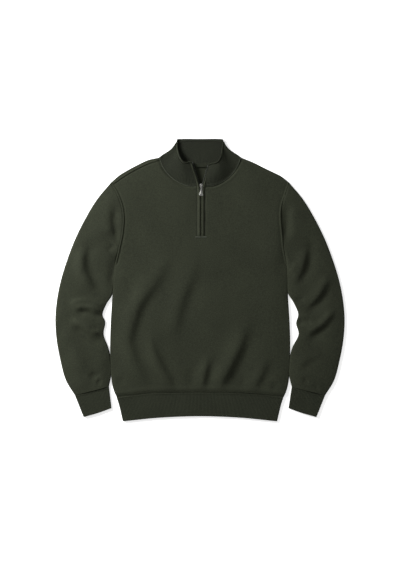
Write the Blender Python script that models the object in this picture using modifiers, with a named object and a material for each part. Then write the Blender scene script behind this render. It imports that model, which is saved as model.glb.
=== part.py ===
"""Quarter zip sweater, laid flat on a surface with its front up.

+X is to the right as seen from the front, +Y runs from hem to collar and +Z comes out of the
surface, which the underside rests on at z = 0. Left and right are as seen from the front.
Sizes below are in millimetres.
"""
import math

import bmesh
import bpy
from mathutils import Vector

MM = 0.001
GAP = 0.3             # between pieces that meet at a seam

# Cloth
JERSEY = 2.0          # wall of the body and the sleeves
RIB = 2.2             # wall of the cuffs and the hem
COLLAR = 3.0          # wall of the collar, which is rib folded double
EDGE = 2.65           # radius of the turn at the edge of a flattened tube
COLLAR_EDGE = 4.2     # the same at the sides of the collar
BODY_LOFT = 3.6       # how far the front stands up inside its folded edges
SLEEVE_LOFT = 2.4     # the same on the sleeves
LOFT_REACH = 45.0     # over which they rise
FOLD_FADE = 22.0      # folds die out over this distance from an edge
CUFF_LOFT = 0.4       # how far the upper layer stands up on a cuff
HEM_LOFT = 0.8        # the same on the hem

# Zip
ZIP_X = 3.3           # the zip lies a little right of the middle
SLIT_HALF = 4.5       # half the width of the slit in the front
SLIT_TOP = 258.0      # the neck seam at the slit
SLIT_END = 122.0
TAPE = 0.8
TAPE_WIDTH = 11.0
ROLL_RADIUS = 1.9     # knit rolled over the zip's edge

TAPE_Z = 4.9          # its underside beneath the front
TAPE_TOP_Z = 6.8      # its underside at the collar's top
TAPE_SHOWS = 3.0      # how far it stands out beyond the collar's front edge
TAPE_LOW_END = 110.0
TAPE_ROWS = (TAPE_LOW_END, 160, 205, 250)
TAPE_COLLAR_ROWS = (0.2, 0.45, 0.7, 0.97)   # as parts of the collar's front edge
ROLL_GAP = 0.4        # half the gap between the two rolled edges
ROLL_ENDS = (123.0, 251.0)
BAR = (30.0, 4.0, 1.0)
BAR_Y = 118.0
BAR_GAP = 0.6         # between the bar and the front that it follows
BAR_STEPS = 6

SLIDER = (8.0, 13.0, 4.0)
SLIDER_Y = 258.5
SLIDER_Z = 6.5
SLIDER_ROUND = 0.8
BRIDGE_RADIUS = 0.7
BRIDGE_LEGS = (253.6, 259.4)
BRIDGE_RISE = 3.4
BRIDGE_STEPS = 10
PULL_LENGTH = 25.0
PULL_NECK = 6.0       # width at the eye
PULL_FOOT = 11.0      # width at the loose end
PULL_WAIST = 8.0      # below the pivot, where it starts to widen
PULL_CORNER = 2.0     # how much its loose corners are cut
PULL_SHOULDER = 0.8   # the same at the eye's end
PULL_THICK = 1.2
PULL_HEAD = 0.6       # metal on each side of the pivot, where the pull hangs on the bridge
PULL_EYE = (3.2, 5.0)
PIVOT_Y = 255.6
PIVOT_Z = 11.6

# Edge of the body from the shoulder's tip to the hem seam: y, x at the left, x at the right
BODY_SIDE = [
    (268, -245, 245),
    (238, -228, 235),
    (203, -215, 224),
    (166, -211, 222),
    (123, -215, 226),
    (85, -223, 230),
    (48, -232, 238),
    (0, -238, 241),
    (-46, -241, 242),
    (-110, -245, 246),
    (-170, -247, 248),
    (-230, -246, 247),
    (-274, -243, 244),
    (-302, -237, 238),
    (-321, -229, 230),
]
UNDERARM_ROW = 6      # row of BODY_SIDE where the armhole ends
ARMHOLE_STEPS = 8     # body and sleeve share these steps, so their edges stay parallel
FRONT_SIDE_STEPS = 18 # from the underarm to the hem
BACK_SIDE_STEPS = 7
SLEEVE_ROWS = 22
SEAM = 0.4            # from the body's edge to the hem's
CUFF_SEAM = 0.52      # from the sleeve's edge to the cuff's
ARMHOLE_SEAM = 1.1    # the same across the armhole, measured along X

# Shoulder from its tip to the neck: x as a distance from the middle, y
SHOULDER = [(245, 268), (222, 289), (200, 303), (174, 317), (143, 330), (112, 337)]
# Neck seam at the front, from the shoulder to the slit: x as a distance from the middle, y
NECK_FRONT = [(112, 337), (102, 311), (85, 288), (63, 271), (38, 260), (18, 258)]
# Neck seam at the back, from the shoulder to the middle
NECK_BACK = [(112, 337), (92, 330), (60, 322), (30, 318.5), (0, 317.5)]
# Seam of the hem rib, and the rib's lower edge: x, y
HEM_SEAM = [(-229, -321), (-176, -314), (-124, -309), (0, -307.5), (120, -309), (184, -314), (230, -321)]
HEM_MIDDLE_Y = -307.5
HEM_END = [(-211, -387.5), (-110, -377.5), (0, -373.5), (110, -377.5), (213, -387.5)]

# Sleeve edges from armhole to cuff seam: x as a distance from the middle, y.
# The inner edge lies along the body, then folds away from it at the elbow.
SLEEVE_OUTER = [
    (245, 268), (284, 221), (317, 166), (344, 111), (365, 56), (382, 1),
    (393, -54), (397.5, -109), (394, -164), (384, -219), (369, -274), (344, -316),
]
SLEEVE_INNER_LEFT = [
    (232, 48), (240, 0), (243.2, -40), (257, -68), (267, -94), (260, -116),
    (264, -149), (253, -187), (249, -215), (247.5, -260), (251, -292),
]
SLEEVE_INNER_RIGHT = [
    (238, 48), (243.3, 0), (244.6, -36), (256, -60), (269, -92), (264, -119),
    (270, -149), (256, -182), (250, -212), (248.5, -258), (253, -293),
]
CUFF_END = [(320, -376), (281, -365), (243, -351.5)]
HEM_SIDE = [(229.5, -321.4), (222, -345), (216.5, -368), (212, -387.5)]

# Where the grids of cloth have their rows and columns, as parts of the way across
FRONT_COLUMNS = [0, .03, .08, .15, .23, .32, .41, .5, .59, .68, .77, .86, .93, 1]
BACK_COLUMNS = [0, .1, .26, .5, .66, .83, 1]
NECK_COLUMN = 0.5     # the column that starts at the shoulder's neck end
SLIT_STEPS = 6
CUFF_COLUMNS = [.2, .4, .6, .8]
RIB_ROWS = [0, .25, .5, .75, 1]
TURN_ANGLES = (math.radians(50), math.radians(90))   # round the turn at a flattened tube's edge

# Folds of the upper layer: middle of the ridge from one end to the other, its height and its width.
# Each ridge is a soft roll of cloth with a hollow on its right.
FRONT_FOLDS = [
    ("left_long", [(-76, 104), (-117, 7), (-165, -61), (-190, -140), (-175, -233), (-141, -302)], 7, 16),
    ("middle_long", [(-14, 94), (-24, 14), (-51, -54), (-70, -123), (-82, -175)], 4, 16),
    ("left_low", [(-138, -137), (-131, -189), (-106, -240), (-69, -302)], 6, 14),
    ("right_low", [(134, -96), (114, -164), (82, -233), (41, -302)], 8, 15),
    ("middle_low", [(31, -192), (14, -250), (4, -302)], 5, 11),
    ("right_hem", [(206, -196), (186, -255), (160, -302)], 4, 12),
]
SLEEVE_FOLDS_LEFT = [
    ("upper_long", [(-318, 91), (-324, 53), (-318, 16), (-293, -21)], 6, 13),
    ("elbow", [(-352, -84), (-320, -70), (-288, -76), (-267, -90)], 6, 9),
    ("below_elbow", [(-356, -104), (-325, -122), (-295, -140), (-272, -149)], 6, 10),
    ("near_cuff", [(-304, -272), (-287, -259), (-272, -265)], 3, 9),
]
SLEEVE_FOLDS_RIGHT = [
    ("upper_long", [(290, 90), (286, 60), (279, 28), (256, -14)], 6, 13),
    ("above_elbow", [(339, 16), (341, -9), (319, -47), (294, -72)], 6, 11),
    ("elbow", [(368, -77), (339, -117), (313, -134), (291, -149)], 7, 10),
    ("near_cuff", [(329, -208), (300, -228), (276, -248)], 3, 10),
]
INNER_START = 1.8     # the sleeve's rows fan out from the underarm, slowly at first
FOLD_HOLLOW = 0.35    # depth of the hollow beside a ridge, as a part of its height
HOLLOW_PLACE = 1.6    # from the ridge to the hollow, in widths of the ridge
FOLD_END = 0.12       # where a ridge starts and ends on its rise and fall, as a part of them

# Collar stations, from the zip edge to the side: how far along the neck seam the wall's outer
# face has its foot, the foot's height, its top (x, y, z), and how far the line between them bows
# to -Y. Between the side and the back the wall turns over, and the turn is worked out.
COLLAR_LEFT = [
    ("zip_edge", 0.00, 9.5, (-23, 325, 11.0), 0),
    ("front", 0.14, 9.5, (-31, 325, 12.5), 0),
    ("front_corner", 0.28, 9.4, (-39, 323, 14.0), 0),
    ("quarter", 0.46, 9.0, (-48, 328, 15.0), 1),
    ("side_front", 0.64, 8.7, (-57, 345, 14.0), 4),
    ("side", 0.82, 8.5, (-62, 365, 11.0), 7),
]
COLLAR_RIGHT = [
    ("zip_edge", 0.00, 9.5, (25, 317, 11.0), 0),
    ("front", 0.14, 9.5, (33, 321, 12.5), 0),
    ("front_corner", 0.28, 9.4, (42, 322, 14.0), 0),
    ("quarter", 0.46, 9.0, (50, 328, 15.0), 1),
    ("side_front", 0.64, 8.7, (57, 344, 14.0), 4),
    ("side", 0.82, 8.5, (61, 364, 11.0), 7),
]
COLLAR_CORNER = (61, 386.5)   # top of the turned side: x as a distance from the middle, y
TURN_BOW = 9.5
# The same from the side to the middle of the back: along the back neck seam, top (x as a
# distance from the middle, y) and bow
COLLAR_BACK = [
    ("back_side", 0.32, (41, 387), 4),
    ("back_quarter", 0.66, (20, 386.2), 0),
]
COLLAR_MIDDLE_TOP = 385.7
COLLAR_SEAM = 1.1     # from the neck seam to the collar's foot
COLLAR_LEVELS = 6
TURN_STEPS = 4
BOW_SHAPE = 27 / 4    # makes the bow t * t * (1 - t) reach 1, two thirds of the way up


def clear_scene():
    for item in list(bpy.data.objects):
        bpy.data.objects.remove(item, do_unlink=True)


def make_material(name, colour, roughness, metallic=0.0):
    """Principled material; the colour is linear RGB."""
    material = bpy.data.materials.new(name)
    material.use_nodes = True
    shader = material.node_tree.nodes["Principled BSDF"]
    shader.inputs["Base Color"].default_value = (*colour, 1.0)
    shader.inputs["Roughness"].default_value = roughness
    shader.inputs["Metallic"].default_value = metallic
    return material


def smooth_path(points):
    """A function of 0..1 that runs evenly along a smooth curve through the points."""
    knots = [Vector(p) for p in points]
    knots = [2 * knots[0] - knots[1]] + knots + [2 * knots[-1] - knots[-2]]
    fine = []
    steps = 12
    for a, b, c, d in zip(knots, knots[1:], knots[2:], knots[3:]):
        for i in range(steps):
            t = i / steps
            fine.append(0.5 * (2 * b + (c - a) * t + (2 * a - 5 * b + 4 * c - d) * t ** 2
                               + (3 * b - a - 3 * c + d) * t ** 3))
    fine.append(knots[-2].copy())
    return even_path(fine)


def even_path(fine):
    """A function of 0..1 that runs evenly along the straight runs between the points."""
    lengths = [0.0]
    for p, q in zip(fine, fine[1:]):
        lengths.append(lengths[-1] + (q - p).length)

    def at(t):
        want = min(max(t, 0.0), 1.0) * lengths[-1]
        for i in range(1, len(fine)):
            if lengths[i] >= want:
                span = lengths[i] - lengths[i - 1]
                return fine[i - 1].lerp(fine[i], (want - lengths[i - 1]) / span if span else 0.0)
        return fine[-1].copy()

    return at


def patch(top, bottom, left, right):
    """A function of (u, v) that fills the outline between four edge curves that meet at corners."""
    def at(u, v):
        edges = top(u) * (1 - v) + bottom(u) * v + left(v) * (1 - u) + right(v) * u
        corners = (top(0) * (1 - u) + top(1) * u) * (1 - v) + (bottom(0) * (1 - u) + bottom(1) * u) * v
        return edges - corners

    return at


def mirrored(points, side):
    """Points given by their distance from the middle, on the side -1 (left) or 1 (right)."""
    return [Vector((side * x, y)) for x, y in points]


def rise(distance, reach):
    """0 at an edge, turning smoothly up to 1 at the reach from it."""
    part = min(max(distance / reach, 0.0), 1.0)
    return 1 - (1 - part) ** 2


def fold_lift(x, y, folds):
    """How far the folds lift the cloth at a point."""
    lift = 0.0
    point = Vector((x, y))
    for _, line, height, width in folds:
        nearest, where, side = 1e9, 0.0, 1.0
        for i, (a, b) in enumerate(zip(line, line[1:])):
            start, run = Vector(a), Vector(b) - Vector(a)
            t = min(max((point - start).dot(run) / run.length_squared, 0.0), 1.0)
            away = point - start - run * t
            if away.length < nearest:
                nearest = away.length
                where = (i + t) / (len(line) - 1)
                side = 1.0 if away.x > 0 else -1.0
        fade = math.sin(math.pi * (FOLD_END + (1 - 2 * FOLD_END) * where))
        lift += height * fade * math.exp(-(nearest / width) ** 2)
        if side > 0:
            hollow = nearest / width - HOLLOW_PLACE
            lift -= FOLD_HOLLOW * height * fade * math.exp(-hollow ** 2)
    return lift


def link(mesh, name, material, collection):
    thing = bpy.data.objects.new(name, mesh)
    thing.data.materials.append(material)
    collection.objects.link(thing)
    return thing


def from_bmesh(shape, name, material, collection, smooth=True):
    bmesh.ops.recalc_face_normals(shape, faces=shape.faces)
    mesh = bpy.data.meshes.new(name)
    shape.to_mesh(mesh)
    shape.free()
    if smooth:
        mesh.shade_smooth()
    return link(mesh, name, material, collection)


def sheet(name, grid, kept, wall, material, collection):
    """An open cloth surface from a grid of points, made a wall that grows below it."""
    shape = bmesh.new()
    rows, columns = len(grid), len(grid[0])
    corners = {}

    def corner(row, column):
        if (row, column) not in corners:
            corners[row, column] = shape.verts.new(grid[row][column] * MM)
        return corners[row, column]

    for row in range(rows - 1):
        for column in range(columns - 1):
            if kept(row, column):
                shape.faces.new((corner(row, column), corner(row + 1, column),
                                 corner(row + 1, column + 1), corner(row, column + 1)))
    mesh = bpy.data.meshes.new(name)
    shape.to_mesh(mesh)
    shape.free()
    mesh.shade_smooth()
    thing = link(mesh, name, material, collection)
    solidify = thing.modifiers.new("wall", "SOLIDIFY")
    solidify.thickness = wall * MM
    solidify.offset = -1.0
    return thing


def tube(name, rings, wall, material, collection):
    """An open-ended tube from rings of points, made a wall that grows inwards."""
    shape = bmesh.new()
    loops = [[shape.verts.new(p * MM) for p in ring] for ring in rings]
    for upper, lower in zip(loops, loops[1:]):
        for i in range(len(upper)):
            j = (i + 1) % len(upper)
            shape.faces.new((upper[i], lower[i], lower[j], upper[j]))
    mesh = bpy.data.meshes.new(name)
    shape.to_mesh(mesh)
    shape.free()
    mesh.shade_smooth()
    thing = link(mesh, name, material, collection)
    solidify = thing.modifiers.new("wall", "SOLIDIFY")
    solidify.thickness = wall * MM
    solidify.offset = -1.0
    return thing


def flat_ring(area, v, upper, lower, height):
    """A flattened ring across a patch at v: over the top from its u = 0 edge, back underneath.

    upper and lower are the places across, and height(x, y, from_edge) is the top's height.
    """
    start, end = area(0, v), area(1, v)
    width = (end - start).length
    turn = [(EDGE * (1 - math.cos(a)), EDGE * math.sin(a)) for a in TURN_ANGLES]
    ring = [Vector((start.x, start.y, EDGE))]
    over = [(d / width, EDGE + z) for d, z in turn]
    for u, z in over:
        p = area(u, v)
        ring.append(Vector((p.x, p.y, z)))
    for u in upper:
        p = area(u, v)
        ring.append(Vector((p.x, p.y, height(p.x, p.y, min(u, 1 - u) * width))))
    for u, z in reversed(over):
        p = area(1 - u, v)
        ring.append(Vector((p.x, p.y, z)))
    ring.append(Vector((end.x, end.y, EDGE)))
    for d, z in turn:
        p = area(1 - d / width, v)
        ring.append(Vector((p.x, p.y, EDGE - z)))
    for u in lower:
        p = area(1 - u, v)
        ring.append(Vector((p.x, p.y, 0)))
    for d, z in reversed(turn):
        p = area(d / width, v)
        ring.append(Vector((p.x, p.y, EDGE - z)))
    return ring


def joined(first, second, at):
    """One edge path made of two, which meet at the part `at` of the way."""
    return lambda t: first(t / at) if t < at else second((t - at) / (1 - at))


def backwards(path):
    return lambda t: path(1 - t)


def straight(start, end):
    return lambda t: Vector(start).lerp(Vector(end), t)


def distance_to(line, point):
    """From a point to the nearest place on a line of points."""
    nearest = 1e9
    for a, b in zip(line, line[1:]):
        start, run = Vector(a), Vector(b) - Vector(a)
        t = min(max((point - start).dot(run) / run.length_squared, 0.0), 1.0)
        nearest = min(nearest, (point - start - run * t).length)
    return nearest


def side_points(side, first, last):
    """Rows of BODY_SIDE on one side (-1 or 1), from first to last."""
    return [Vector((left if side < 0 else right, y)) for y, left, right in BODY_SIDE[first:last]]


def armhole(side):
    return smooth_path(side_points(side, 0, UNDERARM_ROW + 1))


def body_edge(side, lower_steps):
    """The whole side of a panel, with the underarm at the end of the armhole's steps."""
    lower = smooth_path(side_points(side, UNDERARM_ROW, len(BODY_SIDE)))
    return joined(armhole(side), lower, ARMHOLE_STEPS / (ARMHOLE_STEPS + lower_steps))


def front_top(x, y):
    """Height of the front's upper face."""
    point = Vector((x, y))
    side = -1 if x < 0 else 1
    edge = min(distance_to(mirrored(SHOULDER, side), point),
               distance_to(side_points(side, UNDERARM_ROW, len(BODY_SIDE)), point))
    low = 2 * JERSEY + GAP + 0.1
    flat = low + BODY_LOFT * rise(edge, LOFT_REACH)
    zip_line = [(ZIP_X, SLIT_TOP), (ZIP_X, TAPE_LOW_END)]
    fade = rise(edge, FOLD_FADE) * rise(distance_to(zip_line, point) - TAPE_WIDTH, FOLD_FADE)
    return max(low, flat + fold_lift(x, y, FRONT_FOLDS) * fade)


def cloth_grid(area, columns, rows):
    return [[area(u, v) for u in columns] for v in rows]


def half_body(side, neck, middle, hem, lower_steps, columns):
    """Points of half a panel, from its side to the middle line, in rows down the body."""
    shoulder = smooth_path(mirrored(SHOULDER, side))
    top = joined(shoulder, neck, NECK_COLUMN)
    steps = ARMHOLE_STEPS + lower_steps
    area = patch(top, hem, body_edge(side, lower_steps), middle)
    return cloth_grid(area, columns, [i / steps for i in range(steps + 1)])


def hem_half(side, inner_x):
    """The hem seam from the side to inner_x."""
    points = HEM_SEAM if side < 0 else HEM_SEAM[::-1]
    outer = [p for p in points if p[0] * side > abs(inner_x) + 1]
    return smooth_path(outer + [(inner_x, HEM_MIDDLE_Y)])


def make_front(material, collection):
    """The front, with the slit for the zip between its two halves."""
    steps = ARMHOLE_STEPS + FRONT_SIDE_STEPS
    halves = []
    for side in (-1, 1):
        slit_x = ZIP_X + side * SLIT_HALF
        neck = smooth_path(mirrored(NECK_FRONT, side) + [Vector((slit_x, SLIT_TOP))])
        hem = hem_half(side, slit_x)
        slit = straight((slit_x, SLIT_TOP), (slit_x, SLIT_END))
        below = straight((slit_x, SLIT_END), (slit_x, HEM_MIDDLE_Y))
        middle = joined(slit, below, SLIT_STEPS / steps)
        halves.append(half_body(side, neck, middle, hem, FRONT_SIDE_STEPS, FRONT_COLUMNS))
    grid = []
    for left, right in zip(*halves):
        row = left + right[::-1]
        grid.append([Vector((p.x, p.y, front_top(p.x, p.y))) for p in row])
    middle_cell = len(FRONT_COLUMNS) - 1
    return sheet("front_panel", grid,
                 lambda row, column: column != middle_cell or row >= SLIT_STEPS,
                 JERSEY, material, collection)


def make_back(material, collection):
    """The back, flat on the surface."""
    middle_top = NECK_BACK[-1]
    halves = []
    for side in (-1, 1):
        neck = smooth_path(mirrored(NECK_BACK, side))
        hem = hem_half(side, 0.0)
        middle = straight(middle_top, (0.0, HEM_MIDDLE_Y))
        halves.append(half_body(side, neck, middle, hem, BACK_SIDE_STEPS, BACK_COLUMNS))
    grid = []
    for left, right in zip(*halves):
        row = left + right[::-1][1:]
        grid.append([Vector((p.x, p.y, JERSEY)) for p in row])
    return sheet("back_panel", grid, lambda row, column: True, JERSEY, material, collection)


def tube_top(loft, folds):
    """Height of a flattened tube's upper face, from a place and its distance to the edge."""
    def height(x, y, from_edge):
        flat = 2 * EDGE + loft * rise(from_edge - EDGE, LOFT_REACH)
        return max(2 * EDGE, flat + fold_lift(x, y, folds) * rise(from_edge, FOLD_FADE))

    return height


def joined_steps(points):
    """A path that takes an equal part of its way for each step between the points."""
    def at(t):
        place = min(max(t, 0.0), 1.0) * (len(points) - 1)
        i = min(int(place), len(points) - 2)
        return points[i].lerp(points[i + 1], place - i)

    return at


def sleeve_paths(side):
    """The four edges of a sleeve's outline: armhole, cuff seam, left and right."""
    mouth_points = [armhole(side)(i / ARMHOLE_STEPS) + Vector((side * ARMHOLE_SEAM, 0))
                    for i in range(ARMHOLE_STEPS + 1)]
    mouth = joined_steps(mouth_points)
    inner_table = SLEEVE_INNER_LEFT if side < 0 else SLEEVE_INNER_RIGHT
    outer = smooth_path([mouth_points[0]] + mirrored(SLEEVE_OUTER, side)[1:])
    inner_edge = smooth_path([mouth_points[-1]] + mirrored(inner_table, side)[1:])
    cuff_seam = straight(outer(1), inner_edge(1))

    def inner(t):
        return inner_edge(t ** INNER_START)

    if side < 0:
        return mouth, cuff_seam, outer, inner
    return backwards(mouth), backwards(cuff_seam), inner, outer


def make_sleeve(name, side, folds, material, collection):
    """A sleeve, flattened, open at the armhole and at the cuff seam."""
    area = patch(*sleeve_paths(side))
    height = tube_top(SLEEVE_LOFT, folds)
    across = [i / ARMHOLE_STEPS for i in range(1, ARMHOLE_STEPS)]
    rings = [flat_ring(area, i / SLEEVE_ROWS, across, across, height) for i in range(SLEEVE_ROWS + 1)]
    return tube(name, rings, JERSEY, material, collection)


def make_cuff(name, side, material, collection):
    """A ribbed cuff, flattened, which goes on from the sleeve."""
    _, seam, left, right = sleeve_paths(side)
    near_end = 0.97
    down = (left(1) - left(near_end)).normalized() * CUFF_SEAM
    top = straight(seam(0) + down, seam(1) + down)
    end = smooth_path(mirrored(CUFF_END, side))
    if side > 0:
        end = backwards(end)
    area = patch(top, end, straight(top(0), end(0)), straight(top(1), end(1)))
    height = tube_top(CUFF_LOFT, [])
    rings = [flat_ring(area, v, CUFF_COLUMNS, CUFF_COLUMNS, height) for v in RIB_ROWS]
    return tube(name, rings, RIB, material, collection)


def make_hem(material, collection):
    """The hem rib, one flattened tube round the body."""
    seams = [hem_half(-1, 0.0), backwards(hem_half(1, 0.0))]
    seam = joined(seams[0], seams[1], 0.5)

    def top(u):
        return seam(u) - Vector((0, SEAM))

    sides = [smooth_path([top(0)] + mirrored(HEM_SIDE, -1)[1:]),
             smooth_path([top(1)] + mirrored(HEM_SIDE, 1)[1:])]
    end_points = [sides[0](1)] + [Vector(p) for p in HEM_END[1:-1]] + [sides[1](1)]
    area = patch(top, smooth_path(end_points), *sides)
    height = tube_top(HEM_LOFT, [])
    left = [u / 2 for u in BACK_COLUMNS[1:]]
    across = left + [1 - u for u in left[::-1][1:]]
    rings = [flat_ring(area, v, across, across, height) for v in RIB_ROWS]
    return tube("hem_rib", rings, RIB, material, collection)


def collar_stations():
    """Foot, top and bow of the collar's outer face, from the left zip edge round to the right."""
    halves = []
    for side, table in ((-1, COLLAR_LEFT), (1, COLLAR_RIGHT)):
        slit_x = ZIP_X + side * SLIT_HALF
        front_neck = smooth_path(mirrored(NECK_FRONT, side) + [Vector((slit_x, SLIT_TOP))])
        back_neck = smooth_path(mirrored(NECK_BACK, side))
        stations = []
        for _, along, foot_z, top, bow in table:
            foot = front_neck(1 - along)
            stations.append((Vector((foot.x, foot.y, foot_z)), Vector(top), bow))
        foot, top = front_neck(0), Vector((side * COLLAR_CORNER[0], COLLAR_CORNER[1]))
        up = (top - foot).normalized()
        inward = Vector((up.y, -up.x)) * -side
        for step in range(TURN_STEPS + 1):
            angle = math.radians(90 - 180 * step / TURN_STEPS)
            in_from_edge = COLLAR_EDGE * (1 - math.cos(angle))
            z = COLLAR_EDGE * (1 + math.sin(angle))
            neck = front_neck if step < TURN_STEPS / 2 else back_neck
            along_seam = foot + (neck(0.05) - foot).normalized() * in_from_edge
            at_top = top + inward * in_from_edge
            stations.append((Vector((*along_seam, z)), Vector((*at_top, z)), TURN_BOW))
        for _, along, (top_x, top_y), bow in COLLAR_BACK:
            foot = back_neck(along)
            stations.append((Vector((foot.x, foot.y, 0)), Vector((side * top_x, top_y, 0)), bow))
        halves.append(stations)
    middle = (Vector((*NECK_BACK[-1], 0)), Vector((0, COLLAR_MIDDLE_TOP, 0)), 0)
    return halves[0] + [middle] + halves[1][::-1]


def make_collar(material, collection):
    """The stand collar, flattened: it lies open behind and its two front ends fold over it."""
    grid = []
    for level in range(COLLAR_LEVELS + 1):
        t = level / COLLAR_LEVELS
        row = []
        for foot, top, bow in collar_stations():
            ahead = Vector((top.x - foot.x, top.y - foot.y, 0)).normalized()
            start = foot + ahead * COLLAR_SEAM
            point = start.lerp(top, t)
            point.y -= bow * BOW_SHAPE * t * t * (1 - t)
            row.append(point)
        grid.append(row)
    return sheet("collar", grid, lambda row, column: True, COLLAR, material, collection)


def make_tape(name, side, material, collection):
    """One side's zip tape: straight behind the slit, then along the collar's front edge."""
    table = COLLAR_LEFT if side < 0 else COLLAR_RIGHT
    free_x = ZIP_X + side * ROLL_GAP
    sewn_x = free_x + side * TAPE_WIDTH
    rows = [(Vector((free_x, y, TAPE_Z)), Vector((sewn_x, y, TAPE_Z)))
            for y in TAPE_ROWS]
    foot = Vector((ZIP_X + side * SLIT_HALF, SLIT_TOP + COLLAR_SEAM, TAPE_Z))
    top = Vector(table[0][3])
    top.z = TAPE_TOP_Z
    along = (top - foot).normalized()
    across = Vector((side * along.y, -side * along.x, 0))
    for t in TAPE_COLLAR_ROWS:
        edge = foot.lerp(top, t)
        rows.append((edge - across * TAPE_SHOWS, edge + across * (TAPE_WIDTH - TAPE_SHOWS)))
    lift = Vector((0, 0, TAPE))
    grid = [[a + lift, b + lift] if side > 0 else [b + lift, a + lift] for a, b in rows[::-1]]
    return sheet(name, grid, lambda row, column: True, TAPE, material, collection)


def curve_to_mesh(curve, name, material, collection):
    guide = bpy.data.objects.new(name + "_curve", curve)
    collection.objects.link(guide)
    bpy.context.view_layer.update()
    evaluated = guide.evaluated_get(bpy.context.evaluated_depsgraph_get())
    mesh = bpy.data.meshes.new_from_object(evaluated)
    bpy.data.objects.remove(guide, do_unlink=True)
    shape = bmesh.new()
    shape.from_mesh(mesh)
    bpy.data.meshes.remove(mesh)
    bmesh.ops.remove_doubles(shape, verts=shape.verts, dist=0.00001)
    return from_bmesh(shape, name, material, collection)


def rod(name, points, radius, resolution, material, collection):
    """A round bar along a route, as one closed mesh."""
    curve = bpy.data.curves.new(name, "CURVE")
    curve.dimensions = "3D"
    curve.bevel_depth = radius * MM
    curve.bevel_resolution = resolution
    curve.use_fill_caps = True
    spline = curve.splines.new("POLY")
    spline.points.add(len(points) - 1)
    for place, point in zip(spline.points, points):
        place.co = (point[0] * MM, point[1] * MM, point[2] * MM, 1)
    return curve_to_mesh(curve, name, material, collection)


def make_roll(name, side, material, collection):
    """The knit rolled over the zip's edge, down one side of the closed zip."""
    x = ZIP_X + side * (ROLL_GAP + ROLL_RADIUS)
    z = TAPE_Z + TAPE + GAP + ROLL_RADIUS
    return rod(name, [(x, ROLL_ENDS[0], z), (x, ROLL_ENDS[1], z)], ROLL_RADIUS, 3, material, collection)


def make_bar(material, collection):
    """The sewn bar across the zip's lower end, laid on the front."""
    width, length, wall = BAR
    grid = []
    for y in (BAR_Y + length / 2, BAR_Y - length / 2):
        row = []
        for i in range(BAR_STEPS + 1):
            x = ZIP_X + width * (i / BAR_STEPS - 0.5)
            row.append(Vector((x, y, front_top(x, y) + BAR_GAP + wall)))
        grid.append(row)
    return sheet("zip_stop", grid, lambda row, column: True, wall, material, collection)


def make_slider(material, collection):
    """The slider's body, which runs on the teeth between the rolled edges."""
    shape = bmesh.new()
    bmesh.ops.create_cube(shape, size=MM)
    bmesh.ops.scale(shape, vec=SLIDER, verts=shape.verts)
    middle = (ZIP_X * MM, SLIDER_Y * MM, (SLIDER_Z + SLIDER[2] / 2) * MM)
    bmesh.ops.translate(shape, vec=middle, verts=shape.verts)
    slider = from_bmesh(shape, "zip_slider", material, collection, smooth=False)
    bevel = slider.modifiers.new("rounded_edges", "BEVEL")
    bevel.width = SLIDER_ROUND * MM
    bevel.segments = 2
    return slider


def make_bridge(material, collection):
    """The loop on the slider that holds the pull."""
    near, far = BRIDGE_LEGS
    base = SLIDER_Z + SLIDER[2] + GAP
    points = []
    for i in range(BRIDGE_STEPS + 1):
        angle = math.pi * i / BRIDGE_STEPS
        y = (near + far) / 2 - (far - near) / 2 * math.cos(angle)
        points.append((ZIP_X, y, base + BRIDGE_RISE * math.sin(angle)))
    return rod("zip_bridge", points, BRIDGE_RADIUS, 1, material, collection)


def make_pull(material, collection):
    """The pull tab, with its origin on the pivot. It lies towards the hem."""
    neck, foot = PULL_NECK / 2, PULL_FOOT / 2
    end = PULL_HEAD - PULL_LENGTH
    half = [
        (neck - PULL_SHOULDER, PULL_HEAD),
        (neck, PULL_HEAD - PULL_SHOULDER),
        (neck, -PULL_WAIST),
        (foot, end + PULL_CORNER),
        (foot - 0.4 * PULL_CORNER, end + 0.25 * PULL_CORNER),
        (foot - PULL_CORNER, end),
    ]
    outline = half + [(-x, y) for x, y in half[::-1]]
    eye_x = PULL_EYE[0] / 2
    eye = [(eye_x, -PULL_HEAD), (eye_x, -PULL_HEAD - PULL_EYE[1]),
           (-eye_x, -PULL_HEAD - PULL_EYE[1]), (-eye_x, -PULL_HEAD)]
    curve = bpy.data.curves.new("zip_pull", "CURVE")
    curve.dimensions = "2D"
    curve.fill_mode = "BOTH"
    curve.extrude = PULL_THICK / 2 * MM
    for points in (outline, eye):
        spline = curve.splines.new("POLY")
        spline.points.add(len(points) - 1)
        spline.use_cyclic_u = True
        for place, (x, y) in zip(spline.points, points):
            place.co = (x * MM, y * MM, 0, 1)
    pull = curve_to_mesh(curve, "zip_pull", material, collection)
    pull.data.shade_flat()
    pull.location = (ZIP_X * MM, PIVOT_Y * MM, PIVOT_Z * MM)
    return pull


clear_scene()
sweater = bpy.data.collections.new("quarter_zip_sweater")
bpy.context.scene.collection.children.link(sweater)

jersey = make_material("fine_knit_jersey", (0.036, 0.041, 0.029), 0.9)
rib = make_material("rib_knit", (0.030, 0.034, 0.025), 0.9)
tape_cloth = make_material("zip_tape_twill", (0.020, 0.022, 0.018), 0.8)
metal = make_material("brushed_nickel", (0.55, 0.55, 0.53), 0.3, 1.0)

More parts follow.
